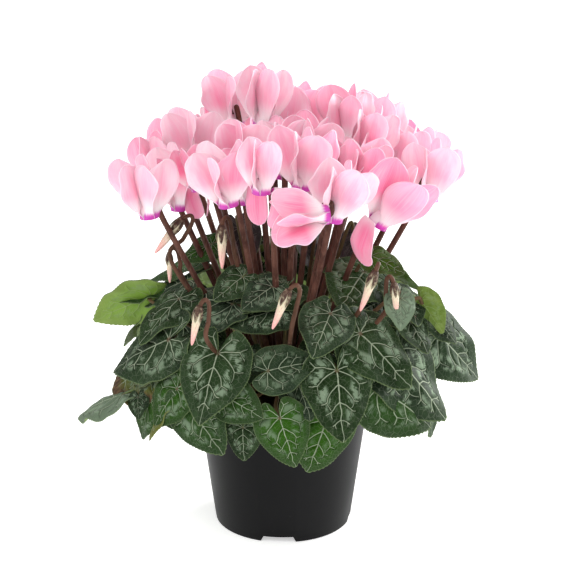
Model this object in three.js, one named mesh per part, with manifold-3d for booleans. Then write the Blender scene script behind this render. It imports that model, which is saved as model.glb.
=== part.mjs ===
// A florist's cyclamen in its black nursery pot: a corm half sunk in potting soil, a bundle of
// purple-brown stalks rising from it, a mound of marbled heart-shaped leaves and a dome of pink blooms
// whose petals are swept back over nodding stalk ends.
// Millimetres, +Z up. The origin is the middle of the pot's foot, on the surface that the pot stands on,
// and the side that faces the viewer is -Y.
import * as THREE from "three";
import { mergeVertices } from "three/addons/utils/BufferGeometryUtils.js";
import Module from "manifold-3d";

const wasm = await Module();
wasm.setup();

// The pot: a thin conical wall, a rim band, a raised floor with drain holes and a notched foot.
const POT = {
  height: 98,
  footRadius: 46.2,
  footBevel: 1.6,
  draft: 0.136,
  wall: 1.5,
  footRing: 3.0,
  floorLow: 4.8,
  floorHigh: 6.4,
  bandHeight: 15,
  bandStep: 1.3,
  lipRound: 0.8,
  sides: 32,
};
const NOTCH = { count: 4, firstAngle: -94, width: 20, taper: 2.4, height: 4.3, inner: 35, depth: 20 };
const DRAIN = { count: 6, circle: 30, radius: 4.5, depth: 10, sides: 6 };
const GAP = 0.3;

// Soil and corm. Stalks leave the corm's crown at a share of the reach that they end at.
const SOIL_TOP = 86;
const CORM = { z: 86, radius: 22, halfHeight: 17, around: 12, down: 6 };
const CROWN = { z: 93, flowerShare: 0.14, leafRing: 14, leafShare: 0.04 };

// Stalk radii, and the room that blades and petals leave round a stalk. A flower stalk sags a little on
// its way up. A leaf stalk arches over the pot's rim and comes to its joint from behind and below.
const STALK = { flower: 1.6, bud: 1.35, leaf: 1.25, clearance: 0.4, sag: 4 };
const LEAF_ARCH = { rise: 6, overRim: 12, behind: 8, below: 6 };

// A bloom: five petals swept back from the mouth, which opens downwards. Flare and length vary a little
// from petal to petal, and the petals of a bloom that is less open are narrower. A petal that hangs bulges
// out of the mouth and drops below it.
const MOUTH = { radius: 6.4, wall: 1.3, lip: 0.5, edge: 0.4, crotch: 0.9, pitHeight: 5.8, tubeHeight: 7.2 };
const PETAL = {
  length: 39,
  leastLength: 0.93,
  lengthSpread: 0.14,
  flare: 8,
  leastFlare: 0.85,
  flareSpread: 0.3,
  flarePower: 1.6,
  claw: 4.3,
  clawEnd: 0.1,
  blade: 11.4,
  closedWidth: 0.5,
  openWidth: 0.55,
  fullWidth: 0.66,
  roundFrom: 0.64,
  roundPower: 2.3,
  thickness: 0.9,
  twistLow: 37,
  twistHigh: 51,
  swirl: 10,
  curl: 0.14,
};
const HANGING = { bulge: 9, bulgePower: 0.8, lift: 9, liftEnd: 1.6, drop: 0.62 };
const PETAL_ANGLES = [50, 115, 180, 245, 310];
const PETAL_SPACING = 65;
const PETAL_ROWS = [0.42, 0.84];

// The stalk's nodding end, as distances out from the bloom's axis and up from its mouth.
const NOD = [[9.8, -7], [8, 5], [4.8, 14.2], [0.6, 14.6], [0, 7.8]];

// A bud: a furled spike hanging from a brown calyx at a hooked stalk end.
const BUD_NOD = [[9.6, -12], [8.8, 2], [5, 6.6], [1.6, 5], [0, 0.5]];
const BUD = [[0, 1.6], [3.1, -2], [2.4, -9], [1.6, -23], [0, -27]];
const BUD_SIDES = 5;

// A leaf blade in units of its length from stalk joint to tip, laid out round a point on the midrib. It
// bends down along the midrib, droops to both sides and waves round the middle.
const BLADE = {
  thickness: 0.8,
  centre: 0.1,
  side: 0.5,
  tip: 0.4,
  tipSpread: 0.5,
  tipPower: 1.15,
  notch: 0.85,
  notchSpread: 0.2,
  crenation: 0.025,
  bend: 0.16,
  droop: 0.3,
  wave: 0.035,
  waves: 5,
  waveShift: 2.4,
  waveFrom: 3,
};
const BLADE_ANGLES = [180, 166, 144, 116, 88, 60, 36, 16, 0, -16, -36, -60, -88, -116, -144, -166];

// The mound of leaves: half an ellipsoid. A leaf faces out of it at a point part of the way to its tip,
// and below a least height as that height does.
const MOUND = { z: 95, x: 124, y: 112, up: 90, facingAt: 0.4, leastHeight: 25 };

// Leaves are laid from the inmost out. One that would lie through others is lifted a step at a time,
// unless it only touches one clump that is still small: then it is one body with that clump.
const LAYING = { step: 1.5, most: 12, clump: 3 };

// Blooms: mouth centre x, y, z; the way the petals point as x, y, z; turn of the stalk's side from
// straight towards the pot's axis; size; openness; petals that hang down.
const BLOOMS = [
  [-85, -42, 228, -0.12, -0.05, 1, 0, 0.98, 0.95, []],
  [-67, -8, 223, -0.08, 0.0, 1, 20, 1.0, 0.88, []],
  [-80, 24, 227, -0.16, 0.1, 1, -20, 0.95, 0.7, []],
  [-68, 60, 228, -0.15, 0.1, 1, 10, 1.0, 0.88, []],
  [-34, -60, 241, -0.18, -0.05, 1, 0, 1.0, 0.92, []],
  [-55, 23, 241, -0.1, 0.1, 1, 25, 1.0, 0.88, []],
  [-33, 60, 260, -0.05, 0.1, 1, 0, 0.98, 0.92, []],
  [-14, 30, 269, 0.05, 0.0, 1, 100, 1.0, 0.6, []],
  [-24, -16, 246, -0.05, 0.05, 1, -30, 1.0, 0.9, []],
  [-13, -78, 255, 0.0, -0.1, 1, -30, 0.95, 0.45, [1, 5]],
  [14, 60, 250, 0.0, 0.1, 1, 0, 1.0, 0.9, []],
  [12, -48, 248, 0.05, 0.05, 1, 15, 1.0, 1.0, []],
  [27, -94, 245, -1.0, -0.35, 0.0, -60, 0.9, 1.0, []],
  [31, -78, 237, 0.22, -0.1, 1, 0, 0.95, 0.95, []],
  [60, -44, 223, 0.6, 0.0, 1, -35, 1.05, 0.95, [2]],
  [96, 2, 226, 0.1, 0.0, 1, 0, 0.95, 0.9, []],
  [76, 30, 228, 0.12, 0.1, 1, 20, 0.98, 0.88, []],
  [91, 65, 222, 0.12, 0.1, 1, 0, 0.95, 0.88, []],
  [42, -12, 233, 0.1, 0.1, 1, -15, 1.0, 0.95, []],
  [44, 36, 253, 0.0, 0.05, 1, 90, 0.98, 0.88, []],
  [60, 64, 242, 0.1, 0.1, 1, 0, 0.98, 0.88, []],
  [18, 2, 243, 0.0, 0.05, 1, 15, 1.0, 0.9, []],
  [-30, 96, 232, -0.1, 0.1, 1, 0, 1.0, 0.88, []],
  [14, 97, 236, 0.0, 0.1, 1, 0, 1.0, 0.88, []],
  [58, 99, 226, 0.1, 0.1, 1, 0, 1.0, 0.88, []],
];

// Buds: top of the calyx x, y, z; the way the hooked end points as x, y, z; turn of the stalk's side from
// straight towards the pot's axis; size.
const BUDS = [
  [-66, -30, 221, 0.8, 0.1, 1, 0, 1.0],
  [-74, -24, 196, 0.0, 0.0, 1, 0, 0.7],
  [-39, -46, 221, 0.0, 0.0, 1, 0, 1.0],
  [-52, -98, 185, 0.2, 0.0, 1, 0, 0.9],
  [3, -96, 195, 0.4, 0.0, 1, 0, 0.95],
  [57, -84, 203, 0.35, 0.0, 1, 0, 0.95],
  [70, -76, 193, -0.1, 0.0, 1, 150, 0.8],
];

// Leaves, placed on the mound: azimuth, elevation and layer of the stalk joint, the same of the tip, and
// the roll about the midrib. Layer 100 lies on the mound's surface.
const LEAVES = [
  [-114, 37, 102, -114, 11, 110, 0],
  [-123, 60, 96, -164, 54, 102, 0],
  [-154, 53, 101, -150, 34, 108, 0],
  [-140, 38, 98, -159, 18, 105, 0],
  [-146, 30, 90, -165, 6, 100, 0],
  [-180, 42, 96, 173, 24, 114, 56],
  [161, 42, 97, 169, 31, 114, -16],
  [172, 57, 96, 163, 36, 104, -10],
  [147, 57, 97, 158, 38, 106, -10],
  [-133, 75, 98, -131, 59, 106, 0],
  [-88, 71, 97, -112, 57, 104, 0],
  [-94, 60, 94, -116, 50, 99, 0],
  [-70, 50, 104, -81, 35, 112, 0],
  [-59, 43, 104, -49, 21, 110, 0],
  [-46, 33, 98, -33, 2, 106, 0],
  [-14, 32, 96, -6, 8, 109, 0],
  [-31, 44, 103, -37, 30, 110, 0],
  [-20, 52, 106, -34, 40, 112, 0],
  [-13, 65, 104, -58, 57, 109, 0],
  [-25, 54, 95, -61, 51, 99, 0],
  [-95, 32, 100, -78, 36, 107, 0],
  [-72, 31, 103, -73, 5, 109, 0],
  [-57, 22, 96, -38, 0, 103, 0],
  [-28, 14, 88, -20, -15, 95, 0],
  [-109, 21, 97, -96, 14, 102, 0],
  [-91, 13, 94, -86, -9, 98, 0],
  [-75, 10, 87, -81, -19, 89, 0],
  [-134, 14, 92, -127, 3, 96, 0],
  [-123, 15, 92, -110, -6, 95, 0],
  [-128, 20, 94, -134, 2, 99, 0],
  [-150, 11, 88, -172, -6, 114.5, 42],
  [34, 55, 102, 24, 38, 108, -14],
  [26, 47, 98, 10, 34, 104, -10],
  [14, 38, 98, 5, 20, 104, -10],
  [2, 27, 96, -2, 8, 104, -14],
  [67, 74, 121, 66, 72, 88, 180],
  [34, 66, 118, 33, 64, 92, 180],
  [128, 71, 119, 130, 69, 88, 180],
];

// The leaves of the far side, in tiers: count, first and last azimuth, elevations and layers of the stalk
// joint and the tip. Each sways by up to half an angle to either side, and lies a little over or under its
// tier by turns.
const REAR_SWAY = { angle: 10, odd: 3, even: -2 };
const REAR_TIERS = [
  { count: 3, from: 60, to: 120, high: 58, low: 34, inner: 99, outer: 106 },
  { count: 5, from: 36, to: 148, high: 32, low: 6, inner: 97, outer: 104 },
  { count: 4, from: 26, to: 154, high: 10, low: -14, inner: 88, outer: 94 },
];

const radians = (degrees) => (degrees * Math.PI) / 180;
const V = (x, y, z) => new THREE.Vector3(x, y, z);
const smooth = (low, high, x) => THREE.MathUtils.smoothstep(x, low, high);
const wobble = (i) => {
  const x = Math.sin(i * 12.9898) * 43758.5453;
  return x - Math.floor(x);
};

// A closed three.js geometry as a solid, and a solid as a geometry.
function solidOf(geometry) {
  const bare = geometry.index ? geometry.toNonIndexed() : geometry.clone();
  bare.deleteAttribute("normal");
  bare.deleteAttribute("uv");
  const merged = mergeVertices(bare, 1e-4);
  return new wasm.Manifold(
    new wasm.Mesh({
      numProp: 3,
      vertProperties: new Float32Array(merged.attributes.position.array),
      triVerts: new Uint32Array(merged.index.array),
    }),
  );
}

function geometryOf(solid) {
  const mesh = solid.getMesh();
  return new THREE.BufferGeometry()
    .setAttribute("position", new THREE.BufferAttribute(mesh.vertProperties, mesh.numProp))
    .setIndex(new THREE.BufferAttribute(mesh.triVerts, 1));
}

function solidFrom(points, index) {
  const positions = points.flatMap((p) => p.toArray());
  return solidOf(
    new THREE.BufferGeometry()
      .setAttribute("position", new THREE.Float32BufferAttribute(positions, 3))
      .setIndex(index),
  );
}

const join = (solids) => solids.reduce((whole, next) => whole.add(next));
const larger = (one, other) => (other.volume() > one.volume() ? other : one);
const largestBody = (solid) => solid.decompose().reduce(larger);

// A solid of revolution about Z, from a profile that starts and ends on the axis or closes on itself.
function turned(profile, sides) {
  const points = profile.map(([r, z]) => new THREE.Vector2(r, z));
  return new THREE.LatheGeometry(points, sides).rotateX(Math.PI / 2);
}

// A round bar through the given points, with a ring of vertices at each of them.
function bar(points, radius, sides) {
  const path = new THREE.CatmullRomCurve3(points);
  path.getUtoTmapping = (u) => u;
  const section = new THREE.Shape(
    Array.from({ length: sides }, (_, k) => {
      const a = (2 * Math.PI * k) / sides;
      return new THREE.Vector2(radius * Math.cos(a), radius * Math.sin(a));
    }),
  );
  const steps = points.length - 1;
  return solidOf(new THREE.ExtrudeGeometry(section, { steps, bevelEnabled: false, extrudePath: path }));
}

// The frame of a bloom or a bud: up points the way the petals do, out points to the stalk's side.
function noddingFrame(at, direction, turn) {
  const up = direction.clone().normalize();
  const out = V(-at.x, -at.y, 0).applyAxisAngle(V(0, 0, 1), radians(turn));
  out.addScaledVector(up, -out.dot(up)).normalize();
  return { up, out, side: V().crossVectors(up, out) };
}

// A point at given distances out and up from a bloom or a bud, and a turned piece set on it.
const beside = ({ frame, at, size }, out, up) =>
  at.clone().addScaledVector(frame.out, out * size).addScaledVector(frame.up, up * size);

function setOn({ frame, at, size }, geometry) {
  const basis = new THREE.Matrix4().makeBasis(frame.out, frame.side, frame.up);
  return solidOf(geometry.applyMatrix4(basis.scale(V(size, size, size)).setPosition(at)));
}

// Half the petal's width, and its surface at s along and t across.
function petalHalfWidth(s) {
  const { claw, clawEnd, blade, fullWidth, roundFrom, roundPower } = PETAL;
  const body = claw + (blade - claw) * smooth(clawEnd, fullWidth, s);
  const past = Math.max(0, s - roundFrom) / (1 - roundFrom);
  return body * Math.sqrt(Math.max(0, 1 - Math.pow(past, roundPower)));
}

function petalPoint(bloom, petal, s, t) {
  const { frame, at, size } = bloom;
  const seed = bloom.index * 7 + petal;
  const angle = radians(PETAL_ANGLES[petal] + PETAL.swirl * s);
  const twist = radians(PETAL.twistLow + (PETAL.twistHigh - PETAL.twistLow) * s);
  const width = petalHalfWidth(s) * size * Math.min(1, PETAL.closedWidth + PETAL.openWidth * bloom.open);
  const flare = PETAL.flare * bloom.open * (PETAL.leastFlare + PETAL.flareSpread * wobble(seed));
  let reach = MOUTH.radius + flare * Math.pow(s, PETAL.flarePower);
  let rise = PETAL.length * (PETAL.leastLength + PETAL.lengthSpread * wobble(seed + 3)) * s;
  if (bloom.hanging.includes(petal + 1)) {
    const { bulge, bulgePower, lift, liftEnd, drop } = HANGING;
    reach = MOUTH.radius + bulge * Math.sin(Math.PI * Math.pow(s, bulgePower));
    rise = lift * Math.sin(Math.PI * Math.min(1, liftEnd * s)) - drop * PETAL.length * s;
  }
  const radial = frame.out.clone().applyAxisAngle(frame.up, angle);
  const across = frame.side.clone().applyAxisAngle(frame.up, angle).applyAxisAngle(frame.up, -twist);
  const facing = radial.clone().applyAxisAngle(frame.up, -twist);
  return at
    .clone()
    .addScaledVector(radial, reach * size)
    .addScaledVector(frame.up, rise * size)
    .addScaledVector(across, width * t)
    .addScaledVector(facing, PETAL.curl * width * t * Math.abs(t));
}

// A bloom is one skin: a pit for the mouth, a cone over it, and petals that stand on the ring between
// them, half a petal's thickness to each side of the petal's surface.
function bloomSolid(bloom) {
  const points = [];
  const index = [];
  const vertex = (p) => points.push(p) - 1;
  const face = (...corners) => {
    for (let k = 2; k < corners.length; k++) {
      index.push(corners[0], corners[k - 1], corners[k]);
    }
  };
  const half = PETAL_SPACING / 2;
  const ringAngles = [PETAL_ANGLES[0] - half];
  PETAL_ANGLES.forEach((angle) => ringAngles.push(angle, angle + half));
  const ring = (radius, height) =>
    ringAngles.map((degrees) => {
      const radial = bloom.frame.out.clone().applyAxisAngle(bloom.frame.up, radians(degrees));
      return vertex(beside(bloom, 0, height).addScaledVector(radial, radius * bloom.size));
    });
  const inner = ring(MOUTH.radius - MOUTH.wall, MOUTH.edge);
  const rim = ring(MOUTH.radius + MOUTH.lip, -MOUTH.edge);
  const crotch = ring(MOUTH.radius - MOUTH.edge / 2, MOUTH.crotch);
  const pit = vertex(beside(bloom, 0, MOUTH.pitHeight));
  const top = vertex(beside(bloom, 0, MOUTH.tubeHeight));
  const last = ringAngles.length - 1;
  ringAngles.forEach((_, k) => {
    const next = k === last ? 0 : k + 1;
    face(inner[next], inner[k], pit);
    face(crotch[k], crotch[next], top);
    face(inner[k], inner[next], rim[next], rim[k]);
  });
  face(rim[last], rim[0], crotch[0], crotch[last]);

  const surface = (petal, s, t) => {
    const e = 0.02;
    const inside = THREE.MathUtils.clamp(s, e, 0.95);
    const along = petalPoint(bloom, petal, inside + e, t).sub(petalPoint(bloom, petal, inside - e, t));
    const across = petalPoint(bloom, petal, inside, t + e).sub(petalPoint(bloom, petal, inside, t - e));
    const offset = across.cross(along).normalize().multiplyScalar(PETAL.thickness / 2);
    const p = petalPoint(bloom, petal, s, t);
    return [vertex(p.clone().add(offset)), vertex(p.clone().sub(offset))];
  };
  PETAL_ANGLES.forEach((_, petal) => {
    const base = [2 * petal, 2 * petal + 1, 2 * petal + 2];
    const rows = [base.map((k) => [rim[k], crotch[k]])];
    PETAL_ROWS.forEach((s) => rows.push([-1, 0, 1].map((t) => surface(petal, s, t))));
    rows.slice(1).forEach((row, r) => {
      const under = rows[r];
      for (const col of [0, 1]) {
        face(under[col][0], under[col + 1][0], row[col + 1][0], row[col][0]);
        face(under[col][1], row[col + 1][1], under[col + 1][1]);
        face(under[col][1], row[col][1], row[col + 1][1]);
      }
      face(under[0][0], row[0][0], row[0][1], under[0][1]);
      face(under[2][0], under[2][1], row[2][1], row[2][0]);
    });
    const [left, middle, right] = rows[rows.length - 1];
    const tip = surface(petal, 0.995, 0);
    face(left[0], middle[0], tip[0]);
    face(middle[0], right[0], tip[0]);
    face(left[1], tip[1], middle[1]);
    face(middle[1], tip[1], right[1]);
    face(left[0], tip[0], tip[1], left[1]);
    face(right[0], right[1], tip[1], tip[0]);
  });
  return solidFrom(points, index);
}

const blooms = BLOOMS.map(([x, y, z, dx, dy, dz, turn, size, open, hanging], index) => {
  const at = V(x, y, z);
  return { index, at, frame: noddingFrame(at, V(dx, dy, dz), turn), size, open, hanging };
});

const buds = BUDS.map(([x, y, z, dx, dy, dz, turn, size]) => {
  const at = V(x, y, z);
  return { at, frame: noddingFrame(at, V(dx, dy, dz), turn), size };
});

// A flower or bud stalk rises from the crown in a nearly straight line, then hooks over.
function hookedStalk(flower, nod, radius) {
  const end = nod.map(([out, up]) => beside(flower, out, up));
  const root = V(end[0].x * CROWN.flowerShare, end[0].y * CROWN.flowerShare, CROWN.z);
  const middle = root.clone().lerp(end[0], 0.5).sub(V(0, 0, STALK.sag));
  return bar([root, middle, ...end], radius, 4);
}

// A point on the mound, or at another layer in or over it.
function onMound(azimuth, elevation, layer) {
  const flat = Math.cos(radians(elevation));
  return V(
    MOUND.x * flat * Math.cos(radians(azimuth)),
    MOUND.y * flat * Math.sin(radians(azimuth)),
    MOUND.up * Math.sin(radians(elevation)),
  )
    .multiplyScalar(layer / 100)
    .add(V(0, 0, MOUND.z));
}

// The frame of a leaf: along the midrib, across it, and the side that faces out of the mound.
function leafOf([azimuth, elevation, layer, tipAzimuth, tipElevation, tipLayer, roll], index) {
  const joint = onMound(azimuth, elevation, layer);
  const tip = onMound(tipAzimuth, tipElevation, tipLayer);
  const along = tip.clone().sub(joint).normalize();
  const middle = joint.clone().lerp(tip, MOUND.facingAt).sub(V(0, 0, MOUND.z));
  middle.z = Math.max(MOUND.leastHeight, middle.z);
  const facing = V(middle.x / MOUND.x ** 2, middle.y / MOUND.y ** 2, middle.z / MOUND.up ** 2);
  facing.addScaledVector(along, -facing.dot(along)).normalize().applyAxisAngle(along, radians(roll));
  const across = V().crossVectors(facing, along);
  return { index, joint, along, facing, across, length: tip.distanceTo(joint), layer: layer + tipLayer };
}

function rearLeaves() {
  const rows = [];
  for (const { count, from, to, high, low, inner, outer } of REAR_TIERS) {
    for (let k = 0; k < count; k++) {
      const azimuth = from + ((to - from) * k) / (count - 1);
      const sway = REAR_SWAY.angle * (wobble(k + high) - 0.5);
      const lift = k % 2 ? REAR_SWAY.odd : REAR_SWAY.even;
      rows.push([azimuth, high + sway, inner + lift, azimuth + 2 * sway, low + sway, outer + lift, 0]);
    }
  }
  return rows;
}

function bladePoint(leaf, u, v) {
  const { centre, bend, droop, wave, waves, waveShift, waveFrom } = BLADE;
  const bow = bend * u * Math.abs(u) + droop * v * v;
  const ripple = wave * Math.sin(waves * Math.atan2(v, u - centre) + waveShift * leaf.index);
  const height = ripple * Math.min(1, waveFrom * (u * u + v * v)) - bow;
  return leaf.joint
    .clone()
    .addScaledVector(leaf.along, u * leaf.length)
    .addScaledVector(leaf.across, v * leaf.length)
    .addScaledVector(leaf.facing, height * leaf.length);
}

function bladeReach(degrees) {
  const a = Math.abs(radians(degrees));
  const body = BLADE.side + BLADE.tip * Math.exp(-Math.pow(a / BLADE.tipSpread, BLADE.tipPower));
  return body * (1 - BLADE.notch * Math.exp(-Math.pow((Math.PI - a) / BLADE.notchSpread, 2)));
}

// A blade: an outline and a centre, fanned alike on both faces.
function bladeSolid(leaf) {
  const points = [];
  const under = [];
  const index = [];
  const add = (degrees, reach) => {
    const u = BLADE.centre + reach * Math.cos(radians(degrees));
    const v = reach * Math.sin(radians(degrees));
    const e = 0.03;
    const along = bladePoint(leaf, u + e, v).sub(bladePoint(leaf, u - e, v));
    const across = bladePoint(leaf, u, v + e).sub(bladePoint(leaf, u, v - e));
    const offset = along.cross(across).normalize().multiplyScalar(BLADE.thickness / 2);
    points.push(bladePoint(leaf, u, v).add(offset));
    under.push(bladePoint(leaf, u, v).sub(offset));
  };
  BLADE_ANGLES.forEach((degrees, k) => {
    add(degrees, bladeReach(degrees) * (1 + BLADE.crenation * (k % 2 ? 1 : -1)));
  });
  add(0, 0);
  const centre = BLADE_ANGLES.length;
  const total = centre + 1;
  for (let a = 0; a < centre; a++) {
    const b = (a + 1) % centre;
    index.push(centre, b, a, centre + total, a + total, b + total);
    index.push(a, b, b + total, a, b + total, a + total);
  }
  return solidFrom([...points, ...under], index);
}

function petiole({ joint, facing, along }, radius) {
  const end = joint.clone().addScaledVector(facing, -STALK.leaf - BLADE.thickness / 2);
  const before = end.clone().addScaledVector(facing, -LEAF_ARCH.behind);
  before.addScaledVector(along, -LEAF_ARCH.below);
  const azimuth = Math.atan2(before.y, before.x);
  const reach = Math.hypot(before.x, before.y);
  const ring = CROWN.leafRing + CROWN.leafShare * reach;
  const root = V(ring * Math.cos(azimuth), ring * Math.sin(azimuth), CROWN.z);
  const middle = root.clone().lerp(before, 0.5);
  middle.z = Math.max(middle.z + LEAF_ARCH.rise, POT.height + LEAF_ARCH.overRim);
  return bar([root, middle, before, end], radius, 3);
}

// Lays one leaf after another, and gives back the clumps that they came to lie in.
function layLeaves(leaves) {
  const clumps = [];
  const inmostFirst = [...leaves].sort((one, other) => one.layer - other.layer);
  for (const leaf of inmostFirst) {
    let blade = bladeSolid(leaf);
    let touched = clumps.filter((clump) => clump.solid.intersect(blade).volume() > 0);
    for (let k = 0; k < LAYING.most && crowded(touched); k++) {
      leaf.joint.addScaledVector(leaf.facing, LAYING.step);
      blade = bladeSolid(leaf);
      touched = clumps.filter((clump) => clump.solid.intersect(blade).volume() > 0);
    }
    const others = clumps.filter((clump) => !touched.includes(clump));
    const members = [leaf, ...touched.flatMap((clump) => clump.members)];
    clumps.length = 0;
    clumps.push(...others, { members, solid: join([blade, ...touched.map((clump) => clump.solid)]) });
  }
  return clumps;
}

const crowded = (touched) => touched.length > 1 || (touched[0]?.members.length ?? 0) >= LAYING.clump;

const leaves = [...LEAVES, ...rearLeaves()].map(leafOf);
const leafClumps = layLeaves(leaves);

// The crown: corm, flower stalks, bud stalks and leaf stalks, grown together.
function crownSolid(room) {
  const ball = new THREE.SphereGeometry(CORM.radius, CORM.around, CORM.down).rotateX(Math.PI / 2);
  const corm = solidOf(ball.scale(1, 1, CORM.halfHeight / CORM.radius).translate(0, 0, CORM.z));
  return join([
    corm,
    ...blooms.map((bloom) => hookedStalk(bloom, NOD, STALK.flower + room)),
    ...buds.map((bud) => hookedStalk(bud, BUD_NOD, STALK.bud + room)),
    ...buds.map((bud) => setOn(bud, turned([...BUD].reverse(), BUD_SIDES))),
    ...leaves.map((leaf) => petiole(leaf, STALK.leaf + room)),
  ]);
}

const potRadius = (z) => POT.footRadius + POT.draft * z;

function potSolid() {
  const { height, wall, floorLow, floorHigh, bandHeight, bandStep, lipRound, footRing, footBevel } = POT;
  const top = potRadius(height) + bandStep;
  const bandLow = height - bandHeight;
  const shell = solidOf(
    turned(
      [
        [0, floorLow],
        [potRadius(0) - footRing, floorLow],
        [potRadius(0) - footRing, 0],
        [potRadius(0) - footBevel * 0.5, 0],
        [potRadius(footBevel), footBevel],
        [potRadius(bandLow), bandLow],
        [potRadius(bandLow) + bandStep, bandLow + bandStep],
        [top, height - lipRound],
        [top - lipRound, height],
        [potRadius(height) - wall + 0.5, height],
        [potRadius(floorHigh) - wall, floorHigh],
        [0, floorHigh],
      ],
      POT.sides,
    ),
  );
  return shell.subtract(join([...footNotches(), ...drainHoles()]));
}

// What is cut away for each foot notch and each drain hole.
function footNotches() {
  const { count, firstAngle, width, taper, height, inner, depth } = NOTCH;
  const [foot, top] = [width / 2 + taper, width / 2];
  const outline = [[foot, -1], [top, height], [-top, height], [-foot, -1]];
  const shape = new THREE.Shape(outline.map(([x, y]) => new THREE.Vector2(x, y)));
  return Array.from({ length: count }, (_, k) => {
    const block = new THREE.ExtrudeGeometry(shape, { depth, bevelEnabled: false, steps: 1 });
    block.rotateX(Math.PI / 2).translate(0, -inner, 0);
    return solidOf(block.rotateZ(radians(firstAngle + 90 + (360 / count) * k)));
  });
}

function drainHoles() {
  const { count, circle, radius, depth, sides } = DRAIN;
  return Array.from({ length: count }, (_, k) => {
    const hole = new THREE.CylinderGeometry(radius, radius, depth, sides).rotateX(Math.PI / 2);
    return solidOf(hole.translate(circle, 0, POT.floorLow).rotateZ(radians((360 / count) * k)));
  });
}

// Soil fills the pot to just under its rim, and the corm sits in a pocket of it.
function soilSolid() {
  const inside = (z) => potRadius(z) - POT.wall - 1.6 * GAP;
  const low = POT.floorHigh + GAP;
  const outline = [[0, low], [inside(low), low], [inside(SOIL_TOP), SOIL_TOP], [0, SOIL_TOP]];
  const plug = solidOf(turned(outline, POT.sides));
  const ball = new THREE.SphereGeometry(CORM.radius + GAP, CORM.around, CORM.down).rotateX(Math.PI / 2);
  const lift = (CORM.halfHeight + GAP) / (CORM.radius + GAP);
  return plug.subtract(solidOf(ball.scale(1, 1, lift).translate(0, 0, CORM.z)));
}

// Blooms whose petals lie through one another are one body.
function bloomClumps() {
  const clumps = [];
  for (const bloom of blooms) {
    const solid = bloomSolid(bloom);
    const touched = clumps.filter((clump) => clump.solid.intersect(solid).volume() > 0);
    const others = clumps.filter((clump) => !touched.includes(clump));
    const members = [...touched.flatMap((clump) => clump.members), bloom];
    clumps.length = 0;
    clumps.push(...others, { members, solid: join([solid, ...touched.map((clump) => clump.solid)]) });
  }
  return clumps;
}

const finish = (color, roughness) => new THREE.MeshStandardMaterial({ color, roughness, metalness: 0 });
const blackPlastic = finish(0x26272a, 0.5);
const pottingSoil = finish(0x2e2018, 1);
const stalkBrown = finish(0x4a2a26, 0.6);
const petalPink = finish(0xf7b3c8, 0.55);
const leafGreen = finish(0x2f4f33, 0.5);

const plant = new THREE.Group();
function addPiece(name, solid, material) {
  const piece = new THREE.Mesh(geometryOf(solid), material);
  piece.name = name;
  plant.add(piece);
}

// A clump's name gives its members' places in their table, counted from 1.
function addClump(kind, { members, solid }, material) {
  const places = members.map(({ index }) => index + 1).sort((one, other) => one - other);
  const name = [kind, ...places.map((place) => String(place).padStart(2, "0"))].join("_");
  addPiece(name, largestBody(solid.subtract(stalkRoom)), material);
}

const stalkRoom = crownSolid(STALK.clearance);
addPiece("pot", potSolid(), blackPlastic);
addPiece("soil", soilSolid(), pottingSoil);
addPiece("corm_and_stalks", crownSolid(0), stalkBrown);
bloomClumps().forEach((clump) => addClump("bloom", clump, petalPink));
leafClumps.forEach((clump) => addClump("leaf", clump, leafGreen));

export default plant;
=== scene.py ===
# %% [markdown]
# # A potted cyclamen
#
# This lesson dresses a florist's cyclamen: a black nursery pot, a mound of marbled leaves and a dome of
# pink blooms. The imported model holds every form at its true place, as plain faceted solids. Each cell
# below makes one kind of piece finer than the solid that it stands for, and gives it a finish.
#
# The first step loads that frame and keeps its box, so that the dressed plant can be compared with it.

# %% The frame
import math
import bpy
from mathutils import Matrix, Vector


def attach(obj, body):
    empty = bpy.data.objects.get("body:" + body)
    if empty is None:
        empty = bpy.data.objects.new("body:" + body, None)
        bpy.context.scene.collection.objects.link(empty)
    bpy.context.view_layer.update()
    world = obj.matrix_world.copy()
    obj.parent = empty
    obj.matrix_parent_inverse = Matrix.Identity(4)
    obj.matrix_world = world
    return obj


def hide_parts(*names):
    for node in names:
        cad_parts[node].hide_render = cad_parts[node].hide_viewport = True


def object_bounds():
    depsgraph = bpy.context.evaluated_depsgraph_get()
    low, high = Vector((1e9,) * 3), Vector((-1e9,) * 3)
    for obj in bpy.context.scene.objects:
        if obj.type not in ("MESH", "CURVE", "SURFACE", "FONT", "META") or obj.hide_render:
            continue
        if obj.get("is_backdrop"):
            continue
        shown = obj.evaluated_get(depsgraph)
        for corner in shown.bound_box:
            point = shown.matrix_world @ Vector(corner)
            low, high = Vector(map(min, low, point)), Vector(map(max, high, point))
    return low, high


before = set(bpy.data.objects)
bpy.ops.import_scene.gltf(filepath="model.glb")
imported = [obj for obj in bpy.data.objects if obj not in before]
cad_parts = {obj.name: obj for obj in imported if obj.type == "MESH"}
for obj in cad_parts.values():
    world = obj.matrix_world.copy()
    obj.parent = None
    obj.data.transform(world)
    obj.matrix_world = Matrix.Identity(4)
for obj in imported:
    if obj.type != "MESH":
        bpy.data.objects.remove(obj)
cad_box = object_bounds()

from types import SimpleNamespace as Sizes

import bmesh
import bpy
import numpy as np
from mathutils import Matrix, Vector, kdtree, noise

print("nodes in the frame:", len(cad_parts))

# %% [markdown]
# ## Camera and light
#
# The plant was photographed from a little above, from far enough away that the pot's sides hardly
# converge, so a long lens suits it. Soft light comes from all round, more of it from the right. A large
# soft key stands above the viewer's left shoulder, and a smaller light far round on the right draws the
# grey sheen down that side of the pot. A colour transform without a film curve keeps the pinks clear.

# %% Camera and light
MM = 0.001
ELEVATION = math.radians(19)
DISTANCE = 1.4
TARGET = Vector((0.002, 0.0, 0.1665))
LENS = 132.2
SENSOR = 36
SKY = {"From Min": -1.0, "From Max": 1.0, "To Min": 0.66, "To Max": 1.15}

scene = bpy.context.scene


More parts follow.
